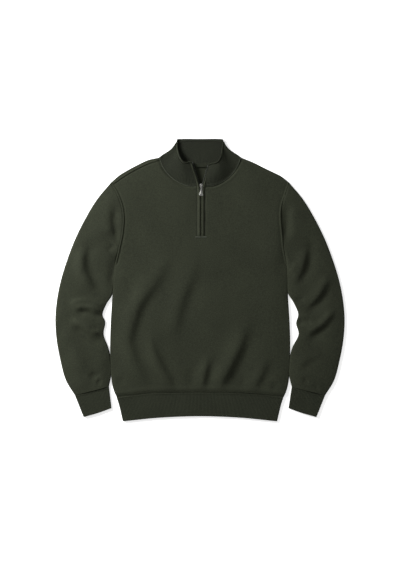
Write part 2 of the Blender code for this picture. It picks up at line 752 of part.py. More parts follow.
make_back(jersey, sweater)
make_front(jersey, sweater)
make_sleeve("sleeve_left", -1, SLEEVE_FOLDS_LEFT, jersey, sweater)
make_sleeve("sleeve_right", 1, SLEEVE_FOLDS_RIGHT, jersey, sweater)
make_cuff("cuff_left", -1, rib, sweater)
make_cuff("cuff_right", 1, rib, sweater)
make_hem(rib, sweater)
make_collar(rib, sweater)
make_tape("zip_tape_left", -1, tape_cloth, sweater)
make_tape("zip_tape_right", 1, tape_cloth, sweater)
make_roll("zip_edge_left", -1, rib, sweater)
make_roll("zip_edge_right", 1, rib, sweater)
make_bar(rib, sweater)
make_slider(metal, sweater)
make_bridge(metal, sweater)
make_pull(metal, sweater)
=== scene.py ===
"""Quarter zip sweater, laid flat with its front up: the looks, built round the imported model."""
import math

import bmesh
import bpy
import numpy as np
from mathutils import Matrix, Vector


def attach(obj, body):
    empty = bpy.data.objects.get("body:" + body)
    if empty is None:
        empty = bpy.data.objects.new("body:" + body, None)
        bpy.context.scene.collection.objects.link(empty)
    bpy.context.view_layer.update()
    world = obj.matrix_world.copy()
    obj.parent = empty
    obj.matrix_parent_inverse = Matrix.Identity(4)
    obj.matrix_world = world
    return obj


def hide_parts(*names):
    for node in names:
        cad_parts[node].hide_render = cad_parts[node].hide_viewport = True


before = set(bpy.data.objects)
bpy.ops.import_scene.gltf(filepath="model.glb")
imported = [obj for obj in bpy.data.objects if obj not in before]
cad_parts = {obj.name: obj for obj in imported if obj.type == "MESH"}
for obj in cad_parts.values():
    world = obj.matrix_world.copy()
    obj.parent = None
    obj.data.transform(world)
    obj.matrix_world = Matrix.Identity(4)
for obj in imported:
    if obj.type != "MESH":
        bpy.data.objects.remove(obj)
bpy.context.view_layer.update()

MM = 0.001

# ---------------------------------------------------------------- camera, light and floor
# A product shot from straight above, on a white table. A broad soft light stands to the upper
# left, so every fold is lit on its left side, and a weaker one fills from the right.

CAMERA_HEIGHT = 3.0
VIEW_LENGTH = 1.5675        # how much of the table shows from top to bottom
VIEW_MIDDLE_Y = -0.0132

camera_data = bpy.data.cameras.new("camera")
camera_data.sensor_width = 36.0
camera_data.lens = camera_data.sensor_width * CAMERA_HEIGHT / VIEW_LENGTH
camera_data.clip_end = 20.0
camera = bpy.data.objects.new("camera", camera_data)
camera.location = (0.0, VIEW_MIDDLE_Y, CAMERA_HEIGHT)
bpy.context.scene.collection.objects.link(camera)
bpy.context.scene.camera = camera


def linear(hex_colour):
    """An sRGB hex value as linear RGB."""
    parts = [int(hex_colour[i:i + 2], 16) / 255 for i in (1, 3, 5)]
    return [c / 12.92 if c <= 0.04045 else ((c + 0.055) / 1.055) ** 2.4 for c in parts]


def soft_light(name, place, size, watts, colour):
    """A square softbox that faces the garment's middle."""
    data = bpy.data.lights.new(name, "AREA")
    data.size = size
    data.energy = watts
    data.color = linear(colour)
    lamp = bpy.data.objects.new(name, data)
    lamp.location = place
    lamp.rotation_euler = (-Vector(place)).to_track_quat("-Z", "Y").to_euler()
    bpy.context.scene.collection.objects.link(lamp)


soft_light("key_softbox", (-2.0, 1.2, 1.15), 0.9, 134, "#FFFFFF")
soft_light("fill_softbox", (1.2, -0.8, 3.0), 2.4, 7, "#FFFFFF")

world = bpy.data.worlds.new("white_studio")
world.use_nodes = True
world.node_tree.nodes["Background"].inputs["Color"].default_value = (1, 1, 1, 1)
world.node_tree.nodes["Background"].inputs["Strength"].default_value = 0.25
bpy.context.scene.world = world
bpy.context.scene.view_settings.view_transform = "Standard"


def add_node(tree, kind, inputs=None, stops=(), **settings):
    """Adds a node with its own settings. An input, by name or number, takes a value, a socket or
    another node, which stands for that node's first output. A colour ramp takes its stops, each
    a position and an sRGB hex value.
    """
    node = tree.nodes.new(kind)
    for name, value in settings.items():
        setattr(node, name, value)
    for position, _ in stops[1:-1]:
        node.color_ramp.elements.new(position)
    for i, (position, colour) in enumerate(stops):
        node.color_ramp.elements[i].position = position
        node.color_ramp.elements[i].color = (*linear(colour), 1)
    for socket, value in (inputs or {}).items():
        source = value.outputs[0] if isinstance(value, bpy.types.Node) else value
        if isinstance(source, bpy.types.NodeSocket):
            tree.links.new(source, node.inputs[socket])
        else:
            node.inputs[socket].default_value = source
    return node


def new_material(name, roughness, metallic=0.0):
    """A material with its tree and its Principled shader."""
    material = bpy.data.materials.new(name)
    material.use_nodes = True
    shader = material.node_tree.nodes["Principled BSDF"]
    shader.inputs["Roughness"].default_value = roughness
    shader.inputs["Metallic"].default_value = metallic
    return material, material.node_tree, shader


def white_table_material():
    """Matt white laminate, lit through from below so that it stays an even white."""
    material, tree, shader = new_material("white_table_laminate", 0.9)
    place = add_node(tree, "ShaderNodeTexCoord").outputs["Object"]
    cloud = add_node(tree, "ShaderNodeTexNoise", {"Vector": place, "Scale": 1.5})
    tone = add_node(tree, "ShaderNodeValToRGB", {"Fac": cloud}, [(0, "#FBFBFB"), (1, "#FEFEFE")])
    tree.links.new(tone.outputs["Color"], shader.inputs["Base Color"])
    tree.links.new(tone.outputs["Color"], shader.inputs["Emission Color"])
    shader.inputs["Emission Strength"].default_value = 0.6
    return material


bpy.ops.mesh.primitive_plane_add(size=8.0, location=(0, 0, -0.0004))
table = bpy.context.object
table.name = "white_table"
table.data.materials.append(white_table_material())

# ---------------------------------------------------------------- back
# One piece of fine jersey, cut to the outline of the body. It lies flat on the table with its
# face down. Its sides turn up to the side seams, and its neckline shows inside the collar.

KNIT_WALL = 1.5
RAW_EDGE = 0.5              # how far its cut edges are rounded
HALF_BODY = 240             # half its width and its length, for spacing a grid's lines
BACK_LENGTH = 640
EDGE = 3.0                  # radius of the cloth's turn at a folded edge, mm
BODY_SIDE = [               # y, x at the left, x at the right
    (268, -245, 245), (238, -228, 235), (203, -215, 224), (166, -211, 222),
    (123, -215, 226), (85, -223, 230), (48, -232, 238), (0, -238, 241),
    (-46, -241, 242), (-110, -245, 246), (-170, -247, 248), (-230, -246, 247),
    (-274, -243, 244), (-302, -237, 238), (-321, -229, 230),
]
UNDERARM_ROW = 6            # the row of BODY_SIDE at the underarm
SHOULDER = {
    -1: [(245, 268), (222, 288), (200, 301.5), (174, 315.5), (143, 330), (112, 337)],
    1: [(245, 268), (222, 286), (200, 297), (174, 309.5), (143, 325), (112, 337)],
}
NECK_BACK = [(112, 337), (92, 330), (60, 322), (30, 318.5), (0, 317.5)]
HEM_SEAM = [(-229, -321), (-176, -314), (-124, -309), (0, -307.5), (120, -309), (184, -314), (230, -321)]
HEM_MIDDLE_Y = -307.5
SHOULDER_PART = 0.5         # the column where the shoulder ends and the neckline starts
ARMHOLE_PART = 0.31         # the row where the armhole ends and the side seam starts


def length_along(points):
    """How far along a line each of its places is, from its first."""
    return np.concatenate([[0], np.cumsum(np.linalg.norm(np.diff(points, axis=0), axis=1))])


def smooth_path(points):
    """A function of 0..1 that runs evenly along a smooth curve through the points."""
    knots = np.array(points, dtype=float)
    ends = [2 * knots[0] - knots[1]], [2 * knots[-1] - knots[-2]]
    knots = np.concatenate([ends[0], knots, ends[1]])
    t = np.linspace(0, 1, 24, endpoint=False)[:, None]
    runs = []
    for a, b, c, d in zip(knots, knots[1:], knots[2:], knots[3:]):
        runs.append(0.5 * (2 * b + (c - a) * t + (2 * a - 5 * b + 4 * c - d) * t ** 2
                           + (3 * b - a - 3 * c + d) * t ** 3))
    fine = np.concatenate(runs + [[knots[-2]]])
    far = length_along(fine)

    def at(part):
        want = np.clip(part, 0, 1) * far[-1]
        return np.stack([np.interp(want, far, fine[:, i]) for i in range(fine.shape[1])], axis=-1)

    return at


def joined(first, second, part):
    """One edge path made of two, which meet at that part of the way."""
    def at(t):
        t = np.asarray(t, dtype=float)[..., None]
        before, after = first(t[..., 0] / part), second((t[..., 0] - part) / (1 - part))
        return np.where(t < part, before, after)

    return at


def patch(top, bottom, left, right):
    """A function of arrays u, v that fills the outline between four edge paths."""
    def at(u, v):
        across, down = np.asarray(u)[None, :, None], np.asarray(v)[:, None, None]
        edges = (top(u)[None] * (1 - down) + bottom(u)[None] * down
                 + left(v)[:, None] * (1 - across) + right(v)[:, None] * across)
        one, zero = np.array([1.0]), np.array([0.0])
        corners = ((top(zero) * (1 - across) + top(one) * across) * (1 - down)
                   + (bottom(zero) * (1 - across) + bottom(one) * across) * down)
        return edges - corners

    return at


def on_side(points, side):
    """Points given by their distance from the middle, on the side -1 or 1."""
    return [(side * x, y) for x, y in points]


def armhole_line(side):
    """From the shoulder to the underarm."""
    return [(left if side < 0 else right, y) for y, left, right in BODY_SIDE[:UNDERARM_ROW + 1]]


def side_seam_line(side):
    """From the underarm to the hem."""
    return [(left if side < 0 else right, y) for y, left, right in BODY_SIDE[UNDERARM_ROW:]]


def body_edge(side):
    """From the shoulder to the hem."""
    return joined(smooth_path(armhole_line(side)), smooth_path(side_seam_line(side)), ARMHOLE_PART)


def hem_half(side, inner_x):
    """The hem seam from the side to inner_x."""
    points = HEM_SEAM if side < 0 else HEM_SEAM[::-1]
    outer = [p for p in points if p[0] * side > abs(inner_x) + 1]
    return smooth_path(outer + [(inner_x, HEM_MIDDLE_Y)])


def from_line(line, points):
    """Distance of points from a smooth line, how far along it, and the side of it they are on."""
    places = smooth_path(line)(np.linspace(0, 1, 10 * len(line)))
    distance = np.full(len(points), 1e9)
    along, side = np.zeros(len(points)), np.zeros(len(points))
    for i, (a, b) in enumerate(zip(places, places[1:])):
        run = b - a
        t = np.clip((points - a) @ run / (run @ run), 0, 1)
        away = points - a - t[:, None] * run
        d = np.linalg.norm(away, axis=1)
        nearer = d < distance
        distance[nearer] = d[nearer]
        along[nearer] = (i + t[nearer]) / (len(places) - 1)
        turn = run[0] * away[:, 1] - run[1] * away[:, 0]
        side[nearer] = np.sign(turn[nearer])
    return distance, along, side


def quarter_turn(distance, radius):
    """Height of a rounded edge at a distance in from it: 0 at the edge, the radius inside."""
    part = np.clip(distance / radius, 0, 1)
    return radius * np.sqrt(1 - (1 - part) ** 2)


def fine_at_edge(length, step, both_ends=False):
    """Parts of a length in mm that start close together at its edge, for a grid's columns."""
    *start, coarse_from = 0, 0.4, 1.0, 1.8, 2.9, 4.4, 6.4, 8.5
    start = np.array(start)
    end = length - coarse_from if both_ends else length
    rest = np.linspace(coarse_from, end, max(3, round((end - coarse_from) / step)))
    places = [start, rest, length - start[::-1]] if both_ends else [start, rest]
    return np.concatenate(places) / length


def new_object(name, data):
    """An object made of the data, put in the scene."""
    made = bpy.data.objects.new(name, data)
    bpy.context.scene.collection.objects.link(made)
    return made


def cloth_mesh(name, grid, uv, material, closed=False, kept=None):
    """A mesh of quads from a grid of places (rows, columns, xyz in mm) and its UV map in metres."""
    rows, columns = grid.shape[:2]
    mesh = bpy.data.meshes.new(name)
    corner = np.arange(rows * columns).reshape(rows, columns)
    if closed:
        corner = np.concatenate([corner, corner[:, :1]], axis=1)
    faces = np.stack([corner[:-1, :-1], corner[1:, :-1], corner[1:, 1:], corner[:-1, 1:]], axis=-1)
    if kept is not None:
        faces = faces[kept]
    faces = faces.reshape(-1, 4)
    mesh.from_pydata((grid.reshape(-1, 3) * MM).tolist(), [], faces.tolist())
    layer = mesh.uv_layers.new(name="cloth")
    if closed:
        uv = np.concatenate([uv, uv[:, -1:] + (uv[:, 1:2] - uv[:, :1])], axis=1)
        wide = columns + 1
        loops = (faces // columns) * wide + faces % columns
        wrapped = (faces % columns == 0) & (np.arange(4) >= 2)
        loops = loops + wrapped * columns
    else:
        loops = faces
    layer.data.foreach_set("uv", uv.reshape(-1, 2)[loops.reshape(-1)].ravel())
    loose = np.setdiff1d(np.arange(rows * columns), faces)
    if len(loose):
        shape = bmesh.new()
        shape.from_mesh(mesh)
        shape.verts.ensure_lookup_table()
        bmesh.ops.delete(shape, geom=[shape.verts[v] for v in loose], context="VERTS")
        shape.to_mesh(mesh)
        shape.free()
    mesh.shade_smooth()
    mesh.materials.append(material)
    return new_object(name, mesh)


def add_wall(piece, wall, rim):
    """Gives an open cloth surface its thickness, inwards, with softly rounded raw edges."""
    solidify = piece.modifiers.new("wall", "SOLIDIFY")
    solidify.thickness = wall * MM
    solidify.offset = -1.0
    if rim:
        bevel = piece.modifiers.new("raw_edge", "BEVEL")
        bevel.width = rim * MM
        bevel.segments = 2
        bevel.limit_method = "ANGLE"
        bevel.angle_limit = math.radians(60)
    return piece


def fit_out(piece, node=None, body="garment"):
    """Hides the solid that a finished piece stands for, if it has one, and puts the piece on the body it
    moves with.
    """
    if node:
        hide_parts(node)
    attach(piece, body)


WALE = 1.9e-3               # width of one column of stitches
COURSE = 1.35e-3            # height of one row of stitches
YARN_DEPTH = 0.3e-3
STITCH_SLANT = 0.7


def stitch_height(tree, uv, wale, course):
    """Height of plain knit, 0 to 1: in every wale two legs of yarn lean together into a V."""
    place = add_node(tree, "ShaderNodeSeparateXYZ", {"Vector": uv})
    column = add_node(tree, "ShaderNodeMath", {0: place.outputs["X"], 1: 1 / wale}, operation="MULTIPLY")
    part = add_node(tree, "ShaderNodeMath", {0: column}, operation="FRACT")
    offset = add_node(tree, "ShaderNodeMath", {0: part, 1: 0.5}, operation="SUBTRACT")
    from_middle = add_node(tree, "ShaderNodeMath", {0: offset}, operation="ABSOLUTE")
    row = add_node(tree, "ShaderNodeMath", {0: place.outputs["Y"], 1: 1 / course}, operation="MULTIPLY")
    slanted = add_node(tree, "ShaderNodeMath", {0: from_middle, 1: 2 * STITCH_SLANT, 2: row},
                       operation="MULTIPLY_ADD")
    turns = add_node(tree, "ShaderNodeMath", {0: slanted, 1: 2 * math.pi}, operation="MULTIPLY")
    loop = add_node(tree, "ShaderNodeMath", {0: turns}, operation="SINE")
    half_turn = add_node(tree, "ShaderNodeMath", {0: from_middle, 1: 2 * math.pi}, operation="MULTIPLY")
    leg = add_node(tree, "ShaderNodeMath", {0: half_turn}, operation="SINE")
    crown = add_node(tree, "ShaderNodeMath", {0: loop, 1: 0.3, 2: 0.7}, operation="MULTIPLY_ADD")
    return add_node(tree, "ShaderNodeMath", {0: leg, 1: crown}, operation="MULTIPLY")


def knit_material(name, shade, body, bloom_and_highlight, channel=None):
    """Fine wool knit. Its tone runs from painted shade between the loops, through the body of the
    yarn, to a pale bloom at the tops of the loops that is partly the fibre ends and partly painted
    highlight, with an uneven, slightly mottled dye. A rib's channel is its spacing, and the colour is
    darker at the bottom of it: painted shade.
    """
    material, tree, shader = new_material(name, 0.92)
    shader.inputs["Specular IOR Level"].default_value = 0.25
    shader.inputs["Sheen Weight"].default_value = 0.22
    shader.inputs["Sheen Roughness"].default_value = 0.5
    shader.inputs["Sheen Tint"].default_value = (*linear("#8A9468"), 1)
    uv = add_node(tree, "ShaderNodeUVMap", uv_map="cloth")
    place = add_node(tree, "ShaderNodeTexCoord").outputs["Object"]
    loops = stitch_height(tree, uv, WALE, COURSE)
    dye = add_node(tree, "ShaderNodeTexNoise", {"Vector": place, "Scale": 14.0, "Detail": 3.0})
    mottle = add_node(tree, "ShaderNodeTexNoise",
                      {"Vector": place, "Scale": 300.0, "Detail": 3.0, "Roughness": 0.7})
    fibre = add_node(tree, "ShaderNodeTexNoise", {"Vector": place, "Scale": 1900.0, "Detail": 2.0})
    # Painted shade between the loops and painted highlight on their tops, from the stitch height
    tone = add_node(tree, "ShaderNodeMath", {0: loops, 1: 0.42, 2: -0.24}, operation="MULTIPLY_ADD")
    for noise, amount in ((dye, 0.16), (mottle, 0.62), (fibre, 0.3)):
        tone = add_node(tree, "ShaderNodeMath", {0: noise, 1: amount, 2: tone}, operation="MULTIPLY_ADD")
    # Painted shade: darker towards the bottom of each rib channel
    if channel:
        across = add_node(tree, "ShaderNodeSeparateXYZ", {"Vector": uv}).outputs["X"]
        turns = add_node(tree, "ShaderNodeMath", {0: across, 1: 2 * math.pi / channel}, operation="MULTIPLY")
        wave = add_node(tree, "ShaderNodeMath", {0: turns}, operation="COSINE")
        tone = add_node(tree, "ShaderNodeMath", {0: wave, 1: 0.1, 2: tone}, operation="MULTIPLY_ADD")
    ramp = add_node(tree, "ShaderNodeValToRGB", {"Fac": tone}, [(0.2, shade), (0.5, body), (0.95, bloom_and_highlight)])
    tree.links.new(ramp.outputs["Color"], shader.inputs["Base Color"])
    fuzz = add_node(tree, "ShaderNodeMath", {0: fibre, 1: 0.5, 2: loops}, operation="MULTIPLY_ADD")
    bump = add_node(tree, "ShaderNodeBump", {"Height": fuzz, "Strength": 0.8, "Distance": YARN_DEPTH})
    tree.links.new(bump.outputs["Normal"], shader.inputs["Normal"])
    return material


# Merino jersey: matt, with painted shade between its loops and a faint bloom at their tops, partly painted
# highlight
jersey = knit_material("merino_jersey", "#12150C", "#282B1F", "#3C4231")


def half_body(side, neck, middle, hem, columns, rows):
    """Places (x, y) of half a body panel, from its side to the middle line."""
    top = joined(smooth_path(on_side(SHOULDER[side], side)), neck, SHOULDER_PART)
    return patch(top, hem, body_edge(side), middle)(columns, rows)


def folded_edge_distance(places):
    """How far places on the body are from its folded edges: the shoulders and the side seams."""
    nearest = np.full(len(places), 1e9)
    for side in (-1, 1):
        for line in (on_side(SHOULDER[side], side), side_seam_line(side)):
            nearest = np.minimum(nearest, from_line(line, places)[0])
    return nearest


def middle_line(start, end):
    """A straight edge path."""
    return lambda t: np.asarray(start) + (np.asarray(end, dtype=float) - start) * np.asarray(t)[..., None]


back_columns = fine_at_edge(HALF_BODY, 5.0)
back_rows = fine_at_edge(BACK_LENGTH, 5.0, both_ends=True)
back_middle = middle_line(NECK_BACK[-1], (0, HEM_MIDDLE_Y))
halves = [half_body(side, smooth_path(on_side(NECK_BACK, side)), back_middle, hem_half(side, 0.0),
                    back_columns, back_rows) for side in (-1, 1)]
flat_back = np.concatenate([halves[1], halves[0][:, ::-1][:, 1:]], axis=1)
from_edge = folded_edge_distance(flat_back.reshape(-1, 2)).reshape(flat_back.shape[:2])
back_z = EDGE - quarter_turn(from_edge, EDGE)
back_grid = np.concatenate([flat_back, back_z[..., None]], axis=-1)
back = cloth_mesh("back", back_grid, flat_back * MM, jersey)
add_wall(back, KNIT_WALL, RAW_EDGE)
fit_out(back, "back_panel")

# ---------------------------------------------------------------- front
# The same jersey, cut like the back but with a deeper neckline and slit for the zip. It lies on
# the back, and its slack has settled into long soft rolls that run down to the hem.

ZIP_X = 3.3
FRONT_LENGTH = 645
SLIT_HALF = 4.5
SLIT_TOP = 258.0
SLIT_END = 122.0
FRONT_LOFT = 3.2            # how far the front stands up inside its folded edges
LOFT_REACH = 60.0
LOWEST_FRONT = 4.6          # where the front touches the back
NECK_FRONT = [(112, 337), (102, 311), (85, 288), (63, 271), (38, 260), (18, 258)]
SEAM_RIDGE = {-1: 1.2, 1: 0.8}   # where two pieces are linked, the edge stands up a little
TOPSTITCH = 11.3            # from the zip's middle to the seam that holds its edge
# The shoulder seams are set forward, so they show on the front: the left one clearly
SHOULDER_SEAM = {
    -1: [(113, 330), (143, 320.5), (172, 307), (197, 293), (218, 279.5), (237, 266)],
    1: [(113, 328), (143, 315), (172, 301), (197, 288), (218, 276), (237, 264)],
}
SHOULDER_RIDGE = {-1: 1.3, 1: 0.5}

# Rolls (height above 0) and hollows (below 0) of the cloth: the height of each, its width to the
# right and to the left of its line, as the line runs, and the line down its middle. The left is
# the side in shadow.
FRONT_FOLDS = {
    "left_long": (6.3, 29, 16, [(-72, 112), (-117, 7), (-165, -61), (-189, -130), (-194, -175),
        (-175, -233), (-138, -306)]),
    "left_long_hollow": (-2.2, 16, 28, [(-64, 74), (-110, -6), (-148, -68), (-170, -130), (-177, -178),
        (-148, -250), (-118, -306)]),
    "middle": (4.1, 29, 17, [(-12, 98), (-24, 14), (-51, -54), (-70, -123), (-82, -178)]),
    "middle_hollow": (-1.9, 18, 28, [(-1, 52), (-17, -6), (-41, -82), (-55, -134)]),
    "left_low": (5.4, 18, 13, [(-138, -132), (-131, -189), (-106, -240), (-68, -306)]),
    "left_low_hollow": (-2.3, 15, 22, [(-122, -154), (-110, -199), (-86, -250), (-52, -306)]),
    "side_hollow": (-1.7, 29, 20, [(-186, 54), (-189, -27), (-212, -86)]),
    "right_low": (7.4, 27, 16, [(136, -88), (114, -164), (82, -233), (40, -306)]),
    "right_low_hollow": (-2.9, 16, 28, [(146, -98), (127, -181), (100, -244), (66, -306)]),
    "centre_low": (4.1, 17, 11, [(31, -188), (14, -250), (3, -306)]),
    "centre_low_hollow": (-1.9, 12, 18, [(39, -200), (28, -254), (16, -306)]),
    "centre_dip": (-1.3, 15, 12, [(-20, -226), (-28, -306)]),
    "right_hem": (3.5, 18, 13, [(190, -198), (167, -258), (137, -306)]),
    "right_hem_hollow": (-2.1, 15, 21, [(201, -202), (181, -261), (151, -306)]),
    "right_short_hollow": (-1.3, 11, 12, [(128, -258), (109, -304)]),
    "right_corner_hollow": (-1.7, 11, 12, [(214, -270), (198, -310)]),
    "left_corner_hollow": (-1.3, 15, 12, [(-222, -262), (-212, -292)]),
    "right_chest": (2.2, 32, 20, [(212, 228), (206, 120), (212, 20)]),
    "left_chest_hollow": (-0.8, 39, 31, [(-190, 210), (-182, 130), (-196, 60)]),
}


def neckline(side):
    """The front's neck seam, from the shoulder to the slit."""
    return smooth_path(on_side(NECK_FRONT, side) + [(ZIP_X + side * SLIT_HALF, SLIT_TOP)])


def hump(distance, width, middle=0.0):
    """1 at its middle, and less and less on both sides of it."""
    return np.exp(-((distance - middle) / width) ** 2)


def fold_heights(places, folds, fade_in, fade_out):
    """How far the folds lift or lower the cloth at places. Each dies out over those parts of its
    length at its start and its end.
    """
    lift = np.zeros(len(places))
    for height, width_before, width_after, line in folds.values():
        distance, along, side = from_line(line, places)
        width = np.where(side > 0, width_after, width_before)
        fade = np.clip(np.minimum(along / fade_in, (1 - along) / fade_out), 0, 1)
        past_end = (along <= 0) | (along >= 1)
        fade = np.where(past_end, 0, fade * fade * (3 - 2 * fade))
        swell = 1 + 0.16 * np.sin(7.0 * along + height)
        lift += height * fade * swell * hump(distance, width)
    return lift


def unevenness(places, seed, spacing, depth):
    """Broad gentle waves of slack, from a few sine waves of unlike direction and length."""
    draw = np.random.default_rng(seed)
    waves = np.zeros(len(places))
    for _ in range(7):
        turn, phase = draw.uniform(0, 2 * math.pi, 2)
        length = spacing * draw.uniform(0.6, 1.7)
        along = places @ np.array([math.cos(turn), math.sin(turn)])
        waves += np.sin(2 * math.pi * along / length + phase)
    return waves * depth / math.sqrt(7)


def soft_floor(z, lowest, soften):
    """z kept above the lowest, turning over softly instead of in a crease."""
    over = (z - lowest) / soften
    return lowest + soften * np.where(over > 8, over, np.log1p(np.exp(np.clip(over, -30, 8))))


def rise(distance, reach):
    """0 at no distance, and then steeply at first up to 1 at its reach."""
    part = np.clip(distance / reach, 0, 1)
    return 1 - (1 - part) ** 2


def front_height(places):
    """Height of the front's face at places."""
    edge = folded_edge_distance(places)
    base = EDGE + 0.1 + quarter_turn(edge, EDGE) + FRONT_LOFT * rise(edge - EDGE, LOFT_REACH)
    zip_distance = from_line([(ZIP_X, SLIT_TOP), (ZIP_X, SLIT_END)], places)[0]
    fade = rise(edge, 24) * rise(zip_distance - 10, 30)
    slack = fold_heights(places, FRONT_FOLDS, fade_in=0.5, fade_out=0.25)
    slack += unevenness(places, seed=11, spacing=120, depth=0.7)
    z = soft_floor(base + slack * fade, LOWEST_FRONT, soften=0.35)
    z = np.where(edge < EDGE, base, z)
    # At each seam, humps and dips of so many mm, with their widths and distances from the seam
    for side in (-1, 1):
        armhole = from_line(armhole_line(side), places)[0]
        z += SEAM_RIDGE[side] * (hump(armhole, 1.5, 1.8) - 0.8 * hump(armhole, 2.0, 5.2))
        shoulder, _, turn = from_line(on_side(SHOULDER_SEAM[side], side), places)
        hollow = hump(shoulder, 1.6, 3.2) * (turn == -side)
        z += SHOULDER_RIDGE[side] * (hump(shoulder, 1.5) - 0.8 * hollow)
    hem = from_line(HEM_SEAM, places)[0]
    z += 1.1 * hump(hem, 7, 10) - 0.6 * hump(hem, 2.0) - 1.3 * hump(hem, 6)
    neck = np.full(len(places), 1e9)
    for side in (-1, 1):
        neck = np.minimum(neck, from_line(on_side(NECK_FRONT, side), places)[0])
    z += 0.5 * hump(neck, 3, 8) - 1.5 * hump(neck, 2.2, 1.6)
    along_zip = (places[:, 1] > SLIT_END - 4) & (places[:, 1] < SLIT_TOP)
    z -= 0.7 * hump(np.abs(places[:, 0] - ZIP_X), 1.5, TOPSTITCH) * along_zip
    return z


# The grid is finer beside the zip and at the shoulder seams
beside_zip = 1 - np.array([1.5, 3, 4.5, 5.7, 7, 8.3, 10]) / HALF_BODY
half_columns = np.union1d(fine_at_edge(HALF_BODY, 3.4), beside_zip)
at_shoulders = np.arange(7.4, 20, 1.4) / FRONT_LENGTH
front_rows = np.union1d(fine_at_edge(FRONT_LENGTH, 3.6, both_ends=True), at_shoulders)
slit_part = (SLIT_TOP - SLIT_END) / (SLIT_TOP - HEM_MIDDLE_Y)
slit_row = int(np.argmin(np.abs(front_rows - slit_part)))
front_rows[slit_row] = slit_part
front_halves = []
for side in (-1, 1):
    slit_x = ZIP_X + side * SLIT_HALF
    slit_edge = middle_line((slit_x, SLIT_TOP), (slit_x, HEM_MIDDLE_Y))
    front_halves.append(half_body(side, neckline(side), slit_edge, hem_half(side, slit_x), half_columns,
                                  front_rows))
strip_x = ZIP_X + np.array([-1.5, 1.5])
strip_y = np.repeat(front_halves[0][:, -1:, 1], 2, axis=1)
strip = np.stack([np.broadcast_to(strip_x, strip_y.shape), strip_y], axis=-1)
flat_front = np.concatenate([front_halves[0], strip, front_halves[1][:, ::-1]], axis=1)
front_z = front_height(flat_front.reshape(-1, 2)).reshape(flat_front.shape[:2])
front_grid = np.concatenate([flat_front, front_z[..., None]], axis=-1)
last_left = len(half_columns) - 1
kept_front = np.ones((front_grid.shape[0] - 1, front_grid.shape[1] - 1), dtype=bool)
kept_front[:slit_row, last_left:last_left + 3] = False
front = cloth_mesh("front", front_grid, flat_front * MM, jersey, kept=kept_front)
add_wall(front, KNIT_WALL, RAW_EDGE)
fit_out(front, "front_panel")

# ---------------------------------------------------------------- sleeves
# Each is one piece of jersey, seamed underneath and set into the armhole. It lies flattened
# beside the body, and where the elbow bends the slack has crushed into short sharp folds.

SLEEVE_LOFT = 3.6
LOWEST_SLEEVE = 4.4
ROUND_TURN = np.radians([0, 22, 45, 67])   # steps round the cloth's turn at each side
SLEEVE_OUTER = [            # distance from the middle, y
    (245, 268), (284, 221), (317, 166), (344, 111), (365, 56), (382, 1),
    (393, -54), (397.5, -109), (394, -164), (384, -219), (369, -274), (344, -316),
]
SLEEVE_INNER = {
    -1: [(231, 48), (236.5, 0), (240.5, -38), (257, -66), (267.5, -94), (260, -116),
         (264.5, -149), (252, -184), (245.5, -213), (243.5, -256), (250, -292)],
    1: [(237, 48), (239.5, 0), (241, -34), (256, -60), (269.5, -92), (264, -119),
        (270.5, -149), (254, -184), (246.5, -213), (244, -256), (252, -293)],
}
INNER_START = 1.8           # rows fan out from the underarm, slowly at first
SLEEVE_LENGTH = 640
SLEEVE_COLUMNS = 44

